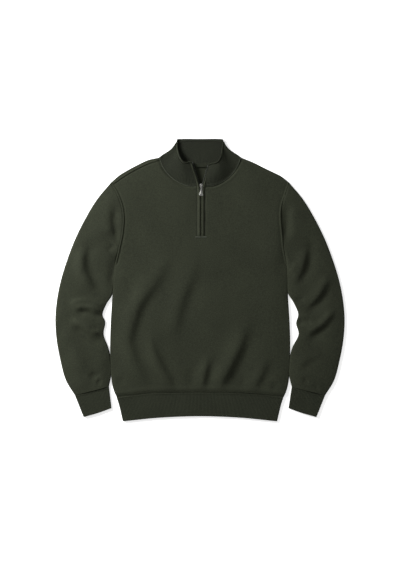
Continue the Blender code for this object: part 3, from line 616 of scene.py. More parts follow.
# The same again, for each sleeve
SLEEVE_FOLDS = {
    -1: {
        "armhole": (3.0, 19, 13, [(-250, 205), (-251, 160), (-240, 118)]),
        "armhole_hollow": (-3.2, 11, 12, [(-227, 212), (-235, 166), (-228, 123), (-221, 98)]),
        "underarm_pucker": (-1.9, 9, 8, [(-232, 100), (-256, 76)]),
        "underarm_hollow": (-2.6, 13, 12, [(-229, 86), (-240, 28), (-244, -24)]),
        "upper_long": (5.5, 21, 13, [(-316, 100), (-324, 53), (-318, 16), (-290, -26)]),
        "upper_long_hollow": (-3.8, 13, 19, [(-288, 118), (-307, 64), (-302, 28), (-282, -16),
            (-250, -50)]),
        "above_elbow": (3.0, 8, 14, [(-262, -74), (-287, -65), (-312, -56), (-342, -61), (-364, -78)]),
        "elbow": (4.4, 8, 10, [(-264, -94), (-282, -84), (-307, -74), (-337, -76), (-352, -88)]),
        "elbow_hollow": (-3.4, 10, 10, [(-268, -110), (-295, -95), (-318, -86), (-342, -92)]),
        "below_elbow": (5.6, 8, 15, [(-266, -151), (-295, -140), (-325, -123), (-358, -102)]),
        "below_elbow_hollow": (-4.1, 10, 14, [(-260, -179), (-293, -160), (-320, -141), (-356, -122)]),
        "small_hollow": (-1.6, 6, 6, [(-277, -136), (-306, -130)]),
        "forearm": (1.6, 19, 18, [(-350, -165), (-330, -215), (-318, -262)]),
        "cuff_hollow": (-2.5, 9, 9, [(-270, -264), (-287, -259), (-304, -274)]),
        "cuff_spot": (-1.9, 7, 7, [(-268, -282), (-284, -277)]),
    },
    1: {
        "armhole_hollow": (-2.7, 11, 15, [(238, 222), (238, 153), (236, 96)]),
        "armhole": (2.1, 11, 25, [(258, 210), (254, 150), (250, 100)]),
        "upper_long": (4.4, 21, 11, [(288, 96), (285, 64), (278, 28), (252, -18)]),
        "upper_long_hollow": (-3.1, 11, 18, [(298, 140), (304, 90), (299, 53), (286, 21), (258, -23)]),
        "small_ridge": (1.9, 8, 9, [(267, 50), (248, 18)]),
        "above_elbow": (4.4, 18, 10, [(338, 22), (342, -9), (319, -47), (290, -76)]),
        "above_elbow_hollow": (-3.0, 10, 15, [(355, -2), (340, -44), (311, -75), (282, -98)]),
        "inner_hollow": (-1.8, 9, 9, [(291, -51), (258, -56)]),
        "elbow_hollow": (-3.4, 9, 8, [(308, -117), (291, -113), (262, -116)]),
        "elbow": (4.9, 13, 9, [(372, -72), (340, -117), (313, -134), (288, -151)]),
        "elbow_long_hollow": (-3.3, 9, 15, [(367, -90), (339, -130), (311, -155), (286, -171)]),
        "forearm_hollow": (-1.7, 13, 15, [(332, -208), (290, -234), (270, -256)]),
        "forearm": (1.9, 16, 11, [(336, -196), (296, -220), (268, -240)]),
        "cuff_hollow": (-1.5, 9, 8, [(296, -270), (283, -284)]),
        "cuff_spot": (-1.5, 9, 8, [(324, -288), (314, -302)]),
    },
}


def sleeve_patch(side):
    """A sleeve's flat outline, its place in the order that runs from left to right."""
    mouth = smooth_path([(x + side * 0.3, y) for x, y in armhole_line(side)])
    outer = smooth_path(on_side(SLEEVE_OUTER, side))
    inner_line = smooth_path(on_side(SLEEVE_INNER[side], side))

    def inner(t):
        return inner_line(np.asarray(t) ** INNER_START)

    one = np.array([1.0])
    cuff_seam = middle_line(outer(one)[0], inner_line(one)[0])
    if side < 0:
        return patch(mouth, cuff_seam, outer, inner)
    return patch(lambda t: mouth(1 - np.asarray(t)), lambda t: cuff_seam(1 - np.asarray(t)), inner, outer)


def flattened_tube(area, rows, across, radius, top_height):
    """Rings round a flattened tube, from its left edge over the top and back underneath.

    top_height gives the upper layer's height from places and their distance to the edge. Returns
    the places and, for every one, its way round the ring in mm from the middle of the top.
    """
    turn_in = radius * (1 - np.cos(ROUND_TURN))
    turn_up = radius * np.sin(ROUND_TURN)
    rings = []
    for v in rows:
        start, end = area(np.array([0.0, 1.0]), np.array([v]))[0]
        width = np.linalg.norm(end - start)
        inset = turn_in / width
        inner = inset[-1] + 0.002 + (1 - 2 * inset[-1] - 0.004) * across
        flat = area(inner, np.array([v]))[0]
        from_edge = np.minimum(inner, 1 - inner) * width
        over = np.column_stack([flat, top_height(flat, from_edge)])
        under = np.column_stack([flat[::-1], np.zeros(len(flat))])
        left = area(inset, np.array([v]))[0]
        right = area(1 - inset, np.array([v]))[0]
        rings.append(np.concatenate([
            np.column_stack([left, radius + turn_up]),
            over,
            np.column_stack([right[::-1], (radius + turn_up)[::-1]]),
            np.column_stack([right[1:], radius - turn_up[1:]]),
            under,
            np.column_stack([left[:0:-1], (radius - turn_up)[:0:-1]]),
        ]))
    rings = np.array(rings)
    steps = np.linalg.norm(np.diff(rings, axis=1), axis=2)
    way = np.concatenate([np.zeros((len(rings), 1)), np.cumsum(steps, axis=1)], axis=1)
    middle = len(ROUND_TURN) + len(across) // 2
    return rings, way - way[:, middle:middle + 1]


def edge_limit(from_edge):
    """The highest that a tube's upper layer can be, so that it meets the turn at its sides."""
    return EDGE + quarter_turn(from_edge + 0.4, EDGE) + 0.9 * from_edge


def sleeve_top(side):
    """Height of a sleeve's upper layer, given to flattened_tube."""
    def height(places, from_edge):
        base = 2 * EDGE + SLEEVE_LOFT * rise(from_edge - EDGE, 40)
        slack = fold_heights(places, SLEEVE_FOLDS[side], fade_in=0.3, fade_out=0.3)
        slack += unevenness(places, seed=23 + side, spacing=90, depth=0.5)
        z = soft_floor(base + slack * rise(from_edge, 16), LOWEST_SLEEVE, soften=0.3)
        armhole = from_line(armhole_line(side), places)[0]
        z -= 0.9 * hump(armhole, 2.2)
        return np.minimum(z, edge_limit(from_edge))

    return height


sleeve_rows = fine_at_edge(SLEEVE_LENGTH, 3.4, both_ends=True)
sleeve_columns = np.linspace(0, 1, SLEEVE_COLUMNS)
for side, name in ((-1, "sleeve_left"), (1, "sleeve_right")):
    rings, way = flattened_tube(sleeve_patch(side), sleeve_rows, sleeve_columns, EDGE, sleeve_top(side))
    down = length_along(rings[:, len(ROUND_TURN) + SLEEVE_COLUMNS // 2])
    uv = np.stack([way, np.broadcast_to(-down[:, None], way.shape)], axis=-1) * MM
    sleeve = cloth_mesh(name + "_knit", rings, uv, jersey, closed=True)
    add_wall(sleeve, KNIT_WALL, 0.0)
    fit_out(sleeve, name)

# ---------------------------------------------------------------- cuffs
# Short tubes of the same yarn in rib, knitted on to the end of each sleeve. The rib draws in, so
# a cuff is narrower than its sleeve and lies flat. Its loose end is bound off and slightly round.

RIB_WALL = 1.8
RIB_SPACING = 3.8           # from one column of the rib to the next; the real 2.5 mm would not show
RIB_DEPTH = 0.5
RIB_STEPS = 6               # columns of the grid to each column of the rib
RIB_Z = 6.2
CUFF_END = [(320, -376), (281, -365), (243, -351.5)]
CUFF_RIBS = 52              # all round
CUFF_LENGTH = 62

rib = knit_material("merino_rib", "#0F120A", "#24271C", "#363C2C", channel=RIB_SPACING * MM)


def grid_normals(grid, closed=False):
    """Unit normals of a grid of places, which point up or out of its tube."""
    down = np.gradient(grid, axis=0)
    if closed:
        across = np.roll(grid, -1, axis=1) - np.roll(grid, 1, axis=1)
    else:
        across = np.gradient(grid, axis=1)
    normal = np.cross(down, across)
    return normal / np.maximum(np.linalg.norm(normal, axis=2, keepdims=True), 1e-9)


def rib_columns(rings, way, count):
    """Sinks the channels of a rib into a tube. Returns its places and its U in mm."""
    closing = np.linalg.norm(rings[:, -1] - rings[:, 0], axis=1)[:, None]
    around = way[:, -1:] - way[:, :1] + closing
    turns = way / around * count
    depth = RIB_DEPTH * (0.5 - 0.5 * np.cos(2 * math.pi * turns))
    return rings - grid_normals(rings, closed=True) * depth[..., None], turns * RIB_SPACING


def rib_tube(name, area, length, count, top_height, row_step=3.2):
    """A flattened tube of rib, from the outline of its upper layer."""
    rows = fine_at_edge(length, row_step, both_ends=True)
    across = np.linspace(0, 1, count // 2 * RIB_STEPS)
    rings, way = flattened_tube(area, rows, across, EDGE, top_height)
    rings, u = rib_columns(rings, way, count)
    down = length_along(rings[:, rings.shape[1] // 4])
    uv = np.stack([u, np.broadcast_to(-down[:, None], u.shape)], axis=-1) * MM
    tube = cloth_mesh(name, rings, uv, rib, closed=True)
    return add_wall(tube, RIB_WALL, 0.6)


def rib_top(seam, seed):
    """Height of a rib tube's upper layer: a low roll at the seam, then flat and slightly slack."""
    def height(places, from_edge):
        distance = from_line(seam, places)[0]
        z = RIB_Z + 0.5 * rise(from_edge - EDGE, 30) + unevenness(places, seed, spacing=70, depth=0.25)
        z += 1.0 * hump(distance, 1.9, 3.2) - 0.6 * hump(distance, 1.4)
        return np.minimum(z, edge_limit(from_edge))

    return height


for side, name, node in ((-1, "cuff_left_rib", "cuff_left"), (1, "cuff_right_rib", "cuff_right")):
    seam_ends = np.array([(side * SLEEVE_OUTER[-1][0], SLEEVE_OUTER[-1][1]),
                          (side * SLEEVE_INNER[side][-1][0], SLEEVE_INNER[side][-1][1])], dtype=float)
    end_line = on_side(CUFF_END, side)
    if side > 0:
        seam_ends, end_line = seam_ends[::-1], end_line[::-1]
    outline = patch(middle_line(seam_ends[0], seam_ends[1]), smooth_path(end_line),
                    middle_line(seam_ends[0], end_line[0]), middle_line(seam_ends[1], end_line[-1]))
    cuff = rib_tube(name, outline, CUFF_LENGTH, CUFF_RIBS, rib_top(seam_ends, seed=41 + side))
    fit_out(cuff, node)

# ---------------------------------------------------------------- hem
# One tube of the same rib round the bottom of the body. It is shorter round than the body, which
# blouses over its seam.

HEM_END = [(-212, -387.5), (-110, -377.5), (0, -373.5), (110, -377.5), (212, -387.5)]
HEM_SIDE = [(229.5, -321), (222, -345), (216.5, -368), (212, -387.5)]
HEM_RIBS = 236
HEM_LENGTH = 66

hem_outline = patch(joined(hem_half(-1, 0.0), lambda t: hem_half(1, 0.0)(1 - np.asarray(t)), 0.5),
                    smooth_path(HEM_END), smooth_path(on_side(HEM_SIDE, -1)), smooth_path(HEM_SIDE))
hem = rib_tube("hem_rib_knit", hem_outline, HEM_LENGTH, HEM_RIBS, rib_top(HEM_SEAM, seed=47), row_step=4.2)
fit_out(hem, "hem_rib")

# ---------------------------------------------------------------- collar
# A stand of the same rib, knitted double and folded over at its top, linked to the neckline. Laid
# flat it falls open: its back lies on the table, its sides turn over and its fronts fold forward.

COLLAR_WALL = 2.8
COLLAR_EDGE = 4.2           # radius of the turn at its sides
COLLAR_LEAN = 3.0           # how far the springy fronts stand above a straight wall
COLLAR_RIBS = 132
# From the zip to the side: how far along the neck seam the wall has its foot, the foot's height,
# the top's x, y and height, and how far the wall bows towards the hem between them
COLLAR_FRONT = {
    -1: [
        ("zip_edge", 0.00, 9.8, (-23, 325, 14.0), 0),
        ("front", 0.14, 9.6, (-31, 325, 16.0), 0),
        ("front_corner", 0.28, 9.4, (-39, 323, 18.0), 0),
        ("quarter", 0.46, 9.0, (-48, 328, 19.5), 1),
        ("side_front", 0.64, 8.7, (-57, 345, 17.5), 4),
        ("side", 0.82, 8.5, (-62, 365, 11.5), 7),
    ],
    1: [
        ("zip_edge", 0.00, 9.8, (25, 317, 15.0), 0),
        ("front", 0.14, 9.6, (33, 321, 18.5), 0),
        ("front_corner", 0.28, 9.4, (42, 322, 21.0), 0),
        ("quarter", 0.46, 9.0, (50, 328, 22.5), 1),
        ("side_front", 0.64, 8.7, (57, 344, 20.0), 4),
        ("side", 0.82, 8.5, (61, 364, 11.5), 7),
    ],
}
COLLAR_CORNER = (62, 388.3)
COLLAR_BACK = [("back_side", 0.32, (41, 388.6), 4), ("back_quarter", 0.66, (20, 388.4), 0)]
COLLAR_MIDDLE_TOP = 388.2
COLLAR_SEAM = 0.6           # from the neck seam to its foot
TURN_BOW = 9.5
TURN_STEPS = 6
BOW_SHAPE = 27 / 4          # makes the bow t * t * (1 - t) reach 1, two thirds of the way up

# The same rib in darker colours all over: painted shade on the collar
collar_rib_painted_shade = knit_material("merino_collar_rib_painted_shade", "#0B0D07", "#1E2117", "#2F3426", channel=RIB_SPACING * MM)


def collar_stations(side):
    """Foot, top and bow of the wall, from the zip edge to next to the middle of the back."""
    front_neck, back_neck = neckline(side), smooth_path(on_side(NECK_BACK, side))
    stations = []
    for _, along, foot_z, top, bow in COLLAR_FRONT[side]:
        stations.append((*front_neck(1 - along), foot_z, *top, bow))
    foot, top = front_neck(0.0), np.array([side * COLLAR_CORNER[0], COLLAR_CORNER[1]])
    angles = np.radians(np.linspace(90, -90, TURN_STEPS + 1))
    turn = [(COLLAR_EDGE * (1 - math.cos(angle)), COLLAR_EDGE * (1 + math.sin(angle))) for angle in angles]
    turn += [(COLLAR_EDGE * 1.6, 0), (COLLAR_EDGE * 2.6, 0)]
    for step, (in_from_edge, z) in enumerate(turn):
        near = (front_neck if step < TURN_STEPS / 2 else back_neck)(0.05) - foot
        at_foot = foot + near / np.linalg.norm(near) * in_from_edge
        inward = np.array((0, -1) if step < TURN_STEPS / 2 else (-side, 0))
        stations.append((*at_foot, z, *(top + inward * in_from_edge), z, TURN_BOW))
    for _, along, (top_x, top_y), bow in COLLAR_BACK:
        stations.append((*back_neck(along), 0, side * top_x, top_y, 0, bow))
    return stations


middle_station = (*NECK_BACK[-1], 0, 0, COLLAR_MIDDLE_TOP, 0, 0)
around_collar = smooth_path(collar_stations(-1) + [middle_station] + collar_stations(1)[::-1])
stations = around_collar(np.linspace(0, 1, COLLAR_RIBS * RIB_STEPS + 1))
foot, top, bow = stations[:, :3], stations[:, 3:6], stations[:, 6]
ahead = (top - foot) * (1, 1, 0)
start = foot + ahead / np.linalg.norm(ahead, axis=1, keepdims=True) * COLLAR_SEAM
levels = np.concatenate([[0, 0.012, 0.03, 0.05, 0.075], np.linspace(0.11, 0.85, 13),
                         [0.88, 0.9, 0.915, 0.93, 0.945, 0.96, 0.972, 0.983, 0.992, 1.0]])
t = levels[:, None, None]
collar_grid = start[None] * (1 - t) + top[None] * t
collar_grid[..., 1] -= bow * BOW_SHAPE * t[..., 0] ** 2 * (1 - t[..., 0])
in_front = rise(foot[:, 2] - COLLAR_EDGE * 2, 1.0)
from_ends = [np.linalg.norm(stations[:, :2] - end[:2], axis=1) for end in (stations[0], stations[-1])]
away_from_zip = rise(np.minimum(*from_ends), 60)
collar_grid[..., 2] += COLLAR_LEAN * np.sin(math.pi * t[..., 0]) * in_front * (0.35 + 0.65 * away_from_zip)
way = length_along(collar_grid[len(levels) // 2])
turns = way / way[-1] * COLLAR_RIBS
height = np.linalg.norm(top - start, axis=1)
from_top = (1 - t[..., 0]) * height
from_foot = t[..., 0] * height
channel = RIB_DEPTH * (0.5 - 0.5 * np.cos(2 * math.pi * turns))
channel = channel * rise(from_top - 2.5, 4) * rise(from_foot, 3)
# A thick rim where the rib folds over at the top, and a low roll above the seam
roll = 2.0 * hump(from_top, 1.6, 1.7) * in_front - 1.1 * hump(from_top, 1.3, 5.4)
seam_roll = 0.8 * hump(from_foot, 1.5, 1.6) - 0.3 * hump(from_foot, 1.4, 4.6)
collar_grid += grid_normals(collar_grid) * (roll + seam_roll * in_front - channel)[..., None]
collar_uv = np.stack([np.broadcast_to(turns * RIB_SPACING, from_top.shape), from_foot], axis=-1) * MM
collar_grid[..., 2] = np.maximum(collar_grid[..., 2], 0)
collar = cloth_mesh("collar_rib", collar_grid, collar_uv, collar_rib_painted_shade)
add_wall(collar, COLLAR_WALL, 1.1)
fit_out(collar, "collar")

# Inside the back of the neck the collar's seam is turned down and held flat on the back
NECK_BAND = 9.5
NECK_BAND_Z = 6.0
band_line = smooth_path([(-70, 323.5), (-35, 321.0), (0, 320.0), (35, 321.0), (70, 323.5)])
band_x = band_line(np.linspace(0, 1, 120))
band_down = np.array([0, 0.5, 1.2, 2.2, 3.4, 5.2, 7.0, 8.2, 9.0, NECK_BAND])
band_z = NECK_BAND_Z + 0.6 * hump(band_down, 1.0, 1.4) - 0.8 * (band_down / NECK_BAND) ** 2
band_grid = np.zeros((len(band_down), len(band_x), 3))
band_grid[..., 0] = band_x[:, 0]
band_grid[..., 1] = band_x[:, 1] - band_down[:, None]
band_grid[..., 2] = band_z[:, None]
neck_band = cloth_mesh("neck_seam_band", band_grid, band_grid[..., :2] * MM, rib)
add_wall(neck_band, 2.4, 0.6)
fit_out(neck_band)

# ---------------------------------------------------------------- zip tapes and coil
# Two strips of woven twill, each with a nylon coil sewn along its free edge. They are closed
# behind the slit, and above the slider they part and run up the collar's front edges.

TAPE_WALL = 0.8
TAPE_WIDTH = 11.0
TAPE_Z = 4.9                # its underside beneath the front
TAPE_TOP_Z = 6.8            # its underside at the collar's top
TAPE_SHOWS = 3.2            # how far it stands out beyond the collar's front edge
TAPE_LOW_END = 110.0
COIL_SPACING = 1.5          # from tooth to tooth
TWILL_THREAD = 0.9e-3       # one diagonal rib of the twill, drawn at twice its real width

STITCH_SIDES = 8
STITCH_RINGS = 6


def twill_material():
    """Polyester twill tape: nearly black green, with fine diagonal ribs that catch a little light."""
    material, tree, shader = new_material("polyester_twill_tape", 0.7)
    uv = add_node(tree, "ShaderNodeUVMap", uv_map="cloth")
    place = add_node(tree, "ShaderNodeSeparateXYZ", {"Vector": uv})
    both = add_node(tree, "ShaderNodeMath", {0: place.outputs["X"], 1: place.outputs["Y"]}, operation="ADD")
    turns = add_node(tree, "ShaderNodeMath", {0: both, 1: 2 * math.pi / TWILL_THREAD}, operation="MULTIPLY")
    wave = add_node(tree, "ShaderNodeMath", {0: turns}, operation="SINE")
    part = add_node(tree, "ShaderNodeMath", {0: wave, 1: 0.5, 2: 0.5}, operation="MULTIPLY_ADD")
    tone = add_node(tree, "ShaderNodeValToRGB", {"Fac": part}, [(0, "#14170F"), (1, "#262A20")])
    tree.links.new(tone.outputs["Color"], shader.inputs["Base Color"])
    bump = add_node(tree, "ShaderNodeBump", {"Height": part, "Strength": 0.6, "Distance": 0.0002})
    tree.links.new(bump.outputs["Normal"], shader.inputs["Normal"])
    return material


def fibre_material(name, dark, light, roughness, fineness):
    """Thread or yarn too thin for its twist to show: uneven in tone along its length."""
    material, tree, shader = new_material(name, roughness)
    place = add_node(tree, "ShaderNodeTexCoord").outputs["Object"]
    noise = add_node(tree, "ShaderNodeTexNoise", {"Vector": place, "Scale": fineness, "Detail": 2.0})
    tone = add_node(tree, "ShaderNodeValToRGB", {"Fac": noise}, [(0.3, dark), (0.7, light)])
    tree.links.new(tone.outputs["Color"], shader.inputs["Base Color"])
    bump = add_node(tree, "ShaderNodeBump", {"Height": noise, "Strength": 0.5, "Distance": 0.0002})
    tree.links.new(bump.outputs["Normal"], shader.inputs["Normal"])
    return material


def stitch_tree():
    """Geometry Nodes: small rounded bars in a row along a line, all turned alike to it."""
    tree = bpy.data.node_groups.new("row_along_line", "GeometryNodeTree")
    tree.interface.new_socket("Line", in_out="INPUT", socket_type="NodeSocketGeometry")
    for name in ("Spacing", "Length", "Width", "Height", "Slant"):
        tree.interface.new_socket(name, in_out="INPUT", socket_type="NodeSocketFloat")
    tree.interface.new_socket("Finish", in_out="INPUT", socket_type="NodeSocketMaterial")
    tree.interface.new_socket("Row", in_out="OUTPUT", socket_type="NodeSocketGeometry")
    given = add_node(tree, "NodeGroupInput").outputs
    curve = add_node(tree, "GeometryNodeMeshToCurve", {"Mesh": given["Line"]})
    points = add_node(tree, "GeometryNodeCurveToPoints", {"Curve": curve, "Length": given["Spacing"]},
                      mode="LENGTH")
    along = add_node(tree, "FunctionNodeAlignRotationToVector", {"Vector": points.outputs["Tangent"]},
                     axis="Z")
    upright = add_node(tree, "FunctionNodeAlignRotationToVector", {"Rotation": along, "Vector": (0, 0, 1)},
                       axis="X", pivot_axis="Z")
    slant = add_node(tree, "FunctionNodeAxisAngleToRotation", {"Axis": (1, 0, 0), "Angle": given["Slant"]})
    turned = add_node(tree, "FunctionNodeRotateRotation", {"Rotation": upright, "Rotate By": slant},
                      rotation_space="LOCAL")
    bar = add_node(tree, "GeometryNodeMeshUVSphere",
                   {"Segments": STITCH_SIDES, "Rings": STITCH_RINGS, "Radius": 0.5})
    size = add_node(tree, "ShaderNodeCombineXYZ",
                    {"X": given["Height"], "Y": given["Width"], "Z": given["Length"]})
    row = add_node(tree, "GeometryNodeInstanceOnPoints",
                   {"Points": points, "Instance": bar, "Rotation": turned, "Scale": size})
    real = add_node(tree, "GeometryNodeRealizeInstances", {"Geometry": row})
    smooth = add_node(tree, "GeometryNodeSetShadeSmooth", {"Geometry": real})
    finished = add_node(tree, "GeometryNodeSetMaterial", {"Geometry": smooth, "Material": given["Finish"]})
    add_node(tree, "NodeGroupOutput", {"Row": finished})
    return tree


ROW_TREE = stitch_tree()


def finished_mesh(guide):
    """The mesh that a guide makes. The guide is then taken out of the scene."""
    bpy.context.view_layer.update()
    evaluated = guide.evaluated_get(bpy.context.evaluated_depsgraph_get())
    mesh = bpy.data.meshes.new_from_object(evaluated)
    bpy.data.objects.remove(guide)
    return mesh


def row_piece(name, lines, finish, **sizes):
    """One plain mesh of a row along each line of places. Sizes are the tree's inputs in mm."""
    mesh = bpy.data.meshes.new(name)
    places, edges = [], []
    for line in lines:
        first = len(places)
        places.extend((np.array(line, dtype=float) * MM).tolist())
        edges.extend((i, i + 1) for i in range(first, len(places) - 1))
    mesh.from_pydata(places, edges, [])
    guide = new_object(name + "_line", mesh)
    modifier = guide.modifiers.new("row", "NODES")
    modifier.node_group = ROW_TREE
    values = {key: size if key == "Slant" else size * MM for key, size in sizes.items()}
    values["Finish"] = finish
    for socket in ROW_TREE.interface.items_tree:
        if socket.in_out == "INPUT" and socket.name in values:
            modifier[socket.identifier] = values[socket.name]
    return new_object(name, finished_mesh(guide))


def collar_edge(side):
    """Foot and top of the collar's front edge, seen from above."""
    return (np.array([ZIP_X + side * SLIT_HALF, SLIT_TOP + COLLAR_SEAM]),
            np.array(COLLAR_FRONT[side][0][3][:2], dtype=float))


def away_from_zip_line(line, side):
    """Unit directions seen from above, square to a line that runs up one side of the zip."""
    heading = np.gradient(line[:, :2], axis=0)
    heading /= np.linalg.norm(heading, axis=1, keepdims=True)
    return np.stack([side * heading[:, 1], -side * heading[:, 0]], axis=1)


twill = twill_material()
# Nylon coil: smooth dark filament with a slight shine on each turn
coil_nylon = fibre_material("nylon_coil", "#1E211A", "#3B4036", 0.42, 900.0)
for side, name in ((-1, "left"), (1, "right")):
    foot, top = collar_edge(side)
    run = (top - foot) / np.linalg.norm(top - foot)
    across = np.array([side * run[1], -side * run[0]])
    free_line = [(ZIP_X + side * 0.4, y, TAPE_Z) for y in (TAPE_LOW_END, 150, 200, 238)]
    free_line.append((ZIP_X + side * 1.6, 250.0, TAPE_Z))
    for part in (0.12, 0.3, 0.5, 0.7, 0.85, 0.97):
        place = foot + (top - foot) * part - across * TAPE_SHOWS
        free_line.append((*place, TAPE_Z + (TAPE_TOP_Z - TAPE_Z) * part))
    free_edge = smooth_path(free_line)(np.linspace(0, 1, 110))
    outward = np.column_stack([away_from_zip_line(free_edge, side), np.zeros(len(free_edge))])
    reach = np.array([0, 0.3, 1.0, 3.5, 6.0, 8.5, 10.2, 10.7, TAPE_WIDTH])
    tape_grid = free_edge[::-1, None] + outward[::-1, None] * reach[None, :, None] + (0, 0, TAPE_WALL)
    if side < 0:
        tape_grid = tape_grid[:, ::-1]
    far = length_along(free_edge)
    tape_uv = np.stack(np.broadcast_arrays(reach[None, :], far[:, None]), axis=-1) * MM
    tape = cloth_mesh("zip_tape_" + name + "_twill", tape_grid, tape_uv, twill)
    add_wall(tape, TAPE_WALL, 0.0)
    fit_out(tape, "zip_tape_" + name)
    coil_line = free_edge + outward * 0.9 + (0, 0, TAPE_WALL + 0.45)
    if side > 0:
        coil_line[:, 1] += COIL_SPACING / 2     # each side's teeth close between the other's
    coil = row_piece("zip_coil_" + name, [coil_line], coil_nylon, Spacing=COIL_SPACING,
                     Length=0.95, Width=2.9, Height=1.2, Slant=side * 0.3)
    fit_out(coil)

# ---------------------------------------------------------------- zip edges and stitching
# A fine knit binding is rolled over each edge of the slit and on up the collar's front edges, and
# sewn down through the front. A thick bar of stitches holds both where the zip ends.

# Half-width from the zip's middle, and height: round the binding, from its lower inner corner
BINDING_SECTION = [
    (0.9, 6.4), (0.45, 7.6), (0.7, 9.2), (1.7, 10.6), (3.4, 11.5), (5.4, 11.5), (7.4, 10.8),
    (9.2, 9.6), (10.0, 8.6), (8.8, 8.0), (5.0, 8.0), (2.6, 7.0),
]
# The line where the two sides meet, offset to the side from the zip's middle, up to the collar
BINDING_START = [(0, 119.5), (0, 128), (0, 160), (0, 200), (0, 234), (1.3, 246), (3.6, 255)]
COLLAR_BINDING = 0.62       # its width on the collar, as a part of its width on the front
NARROWS_FROM, NARROWS_OVER = 240, 30
COLLAR_BINDING_RISE = 4.4   # how much higher it is at the collar's top
FLAT_END = 9                # over this length it is flattened under the bar
BINDING_MIDDLE_Z = 8.6
NECK_LINKING_Z = 8.9
BAR = (29.0, 4.2, 1.7)      # length, width and height
BAR_Y = 118.2
BAR_Z = 9.6

thread = fibre_material("cotton_thread", "#1E2219", "#353A2D", 0.75, 700.0)
# Linking yarn: the knit's own yarn, a little paler because it stands up into the light
linking_yarn = fibre_material("linking_yarn", "#2A2E23", "#42483A", 0.9, 600.0)


def binding_path(side):
    """Seen from above, where a binding meets the other one, and then the collar's edge."""
    foot, top = collar_edge(side)
    start = [(ZIP_X + side * x, y) for x, y in BINDING_START]
    rest = [tuple(foot + (top - foot) * part) for part in (0.09, 0.35, 0.65, 0.9, 1.0)]
    return smooth_path(start + rest)


def close_ends(piece):
    """Fills the two open ends of a solid tube."""
    shape = bmesh.new()
    shape.from_mesh(piece.data)
    bmesh.ops.holes_fill(shape, edges=shape.edges, sides=0)
    bmesh.ops.recalc_face_normals(shape, faces=shape.faces)
    shape.to_mesh(piece.data)
    shape.free()


for side, name in ((-1, "left"), (1, "right")):
    middle = binding_path(side)(np.linspace(0, 1, 150))
    outward = away_from_zip_line(middle, side)
    outline = smooth_path(BINDING_SECTION + BINDING_SECTION[:1])(np.linspace(0, 1, 29)[:-1])
    on_collar = np.clip((middle[:, 1] - NARROWS_FROM) / NARROWS_OVER, 0, 1)
    width = 1 - (1 - COLLAR_BINDING) * on_collar
    past_end = np.clip((middle[:, 1] - BINDING_START[0][1]) / FLAT_END, 0, 1)
    up_collar = np.clip((middle[:, 1] - SLIT_TOP) / (middle[-1, 1] - SLIT_TOP), 0, 1)
    rings = np.zeros((len(middle), len(outline), 3))
    rings[..., :2] = middle[:, None] + outward[:, None] * (outline[:, 0] * width[:, None])[..., None]
    lift = (outline[None, :, 1] - BINDING_MIDDLE_Z) * (0.45 + 0.55 * past_end[:, None]) + BINDING_MIDDLE_Z
    uneven = 0.25 * np.sin(middle[:, 1] / 9.0 + side)
    rings[..., 2] = lift + (COLLAR_BINDING_RISE * up_collar + uneven * past_end)[:, None]
    rings = rings[::-1]
    if side > 0:
        rings = rings[:, ::-1]
    around, far = length_along(outline), length_along(middle)
    binding_uv = np.stack(np.broadcast_arrays(around[None, :], far[:, None]), axis=-1) * MM
    binding = cloth_mesh("zip_binding_" + name, rings, binding_uv, jersey, closed=True)
    close_ends(binding)
    fit_out(binding, "zip_edge_" + name)

topstitch_lines = []
for side in (-1, 1):
    y = np.linspace(124, 249, 60)
    x = np.full(60, ZIP_X + side * TOPSTITCH)
    z = front_height(np.column_stack([x, y])) + 0.1
    topstitch_lines.append(np.column_stack([x, y, z]))
topstitches = row_piece("zip_topstitches", topstitch_lines, thread, Spacing=3.0,
                        Length=2.4, Width=0.8, Height=0.6, Slant=0.0)
fit_out(topstitches)

bar_half = BAR[0] / 2
bar_line = [(ZIP_X + x, BAR_Y, BAR_Z) for x in (-bar_half, 0, bar_half)]
bar_core = row_piece("zip_bar_core", [[(ZIP_X - bar_half, BAR_Y, BAR_Z), (ZIP_X + bar_half, BAR_Y, BAR_Z)]],
                     thread, Spacing=1.6, Length=3.4, Width=BAR[1] * 0.86, Height=BAR[2] * 0.86, Slant=0.0)
bar_stitches = row_piece("zip_bar_satin", [bar_line], linking_yarn, Spacing=0.95,
                         Length=1.05, Width=BAR[1], Height=BAR[2], Slant=0.06)
fit_out(bar_core, "zip_stop")
fit_out(bar_stitches)

neck_lines = []
for side in (-1, 1):
    line = neckline(side)(np.linspace(0.0, 0.93, 120))
    z = NECK_LINKING_Z - 1.4 * np.exp(-np.linspace(0, 1, len(line)) * 14)
    neck_lines.append(np.column_stack([line, z]))
neck_linking = row_piece("neck_linking", neck_lines, linking_yarn, Spacing=2.3,
                         Length=2.7, Width=1.7, Height=1.5, Slant=0.35)
fit_out(neck_linking)

# ---------------------------------------------------------------- slider and pull
# A cast zinc slider, plated in nickel, parked at the neck seam. Its tapered pull hangs on a loop
# and swings on it; in between, two flanges keep the teeth in line.

SLIDER_Y = 258.5
SLIDER_Z = 6.5
SLIDER_HEIGHT = 4.0
PLATE = 1.3                 # thickness of its two plates
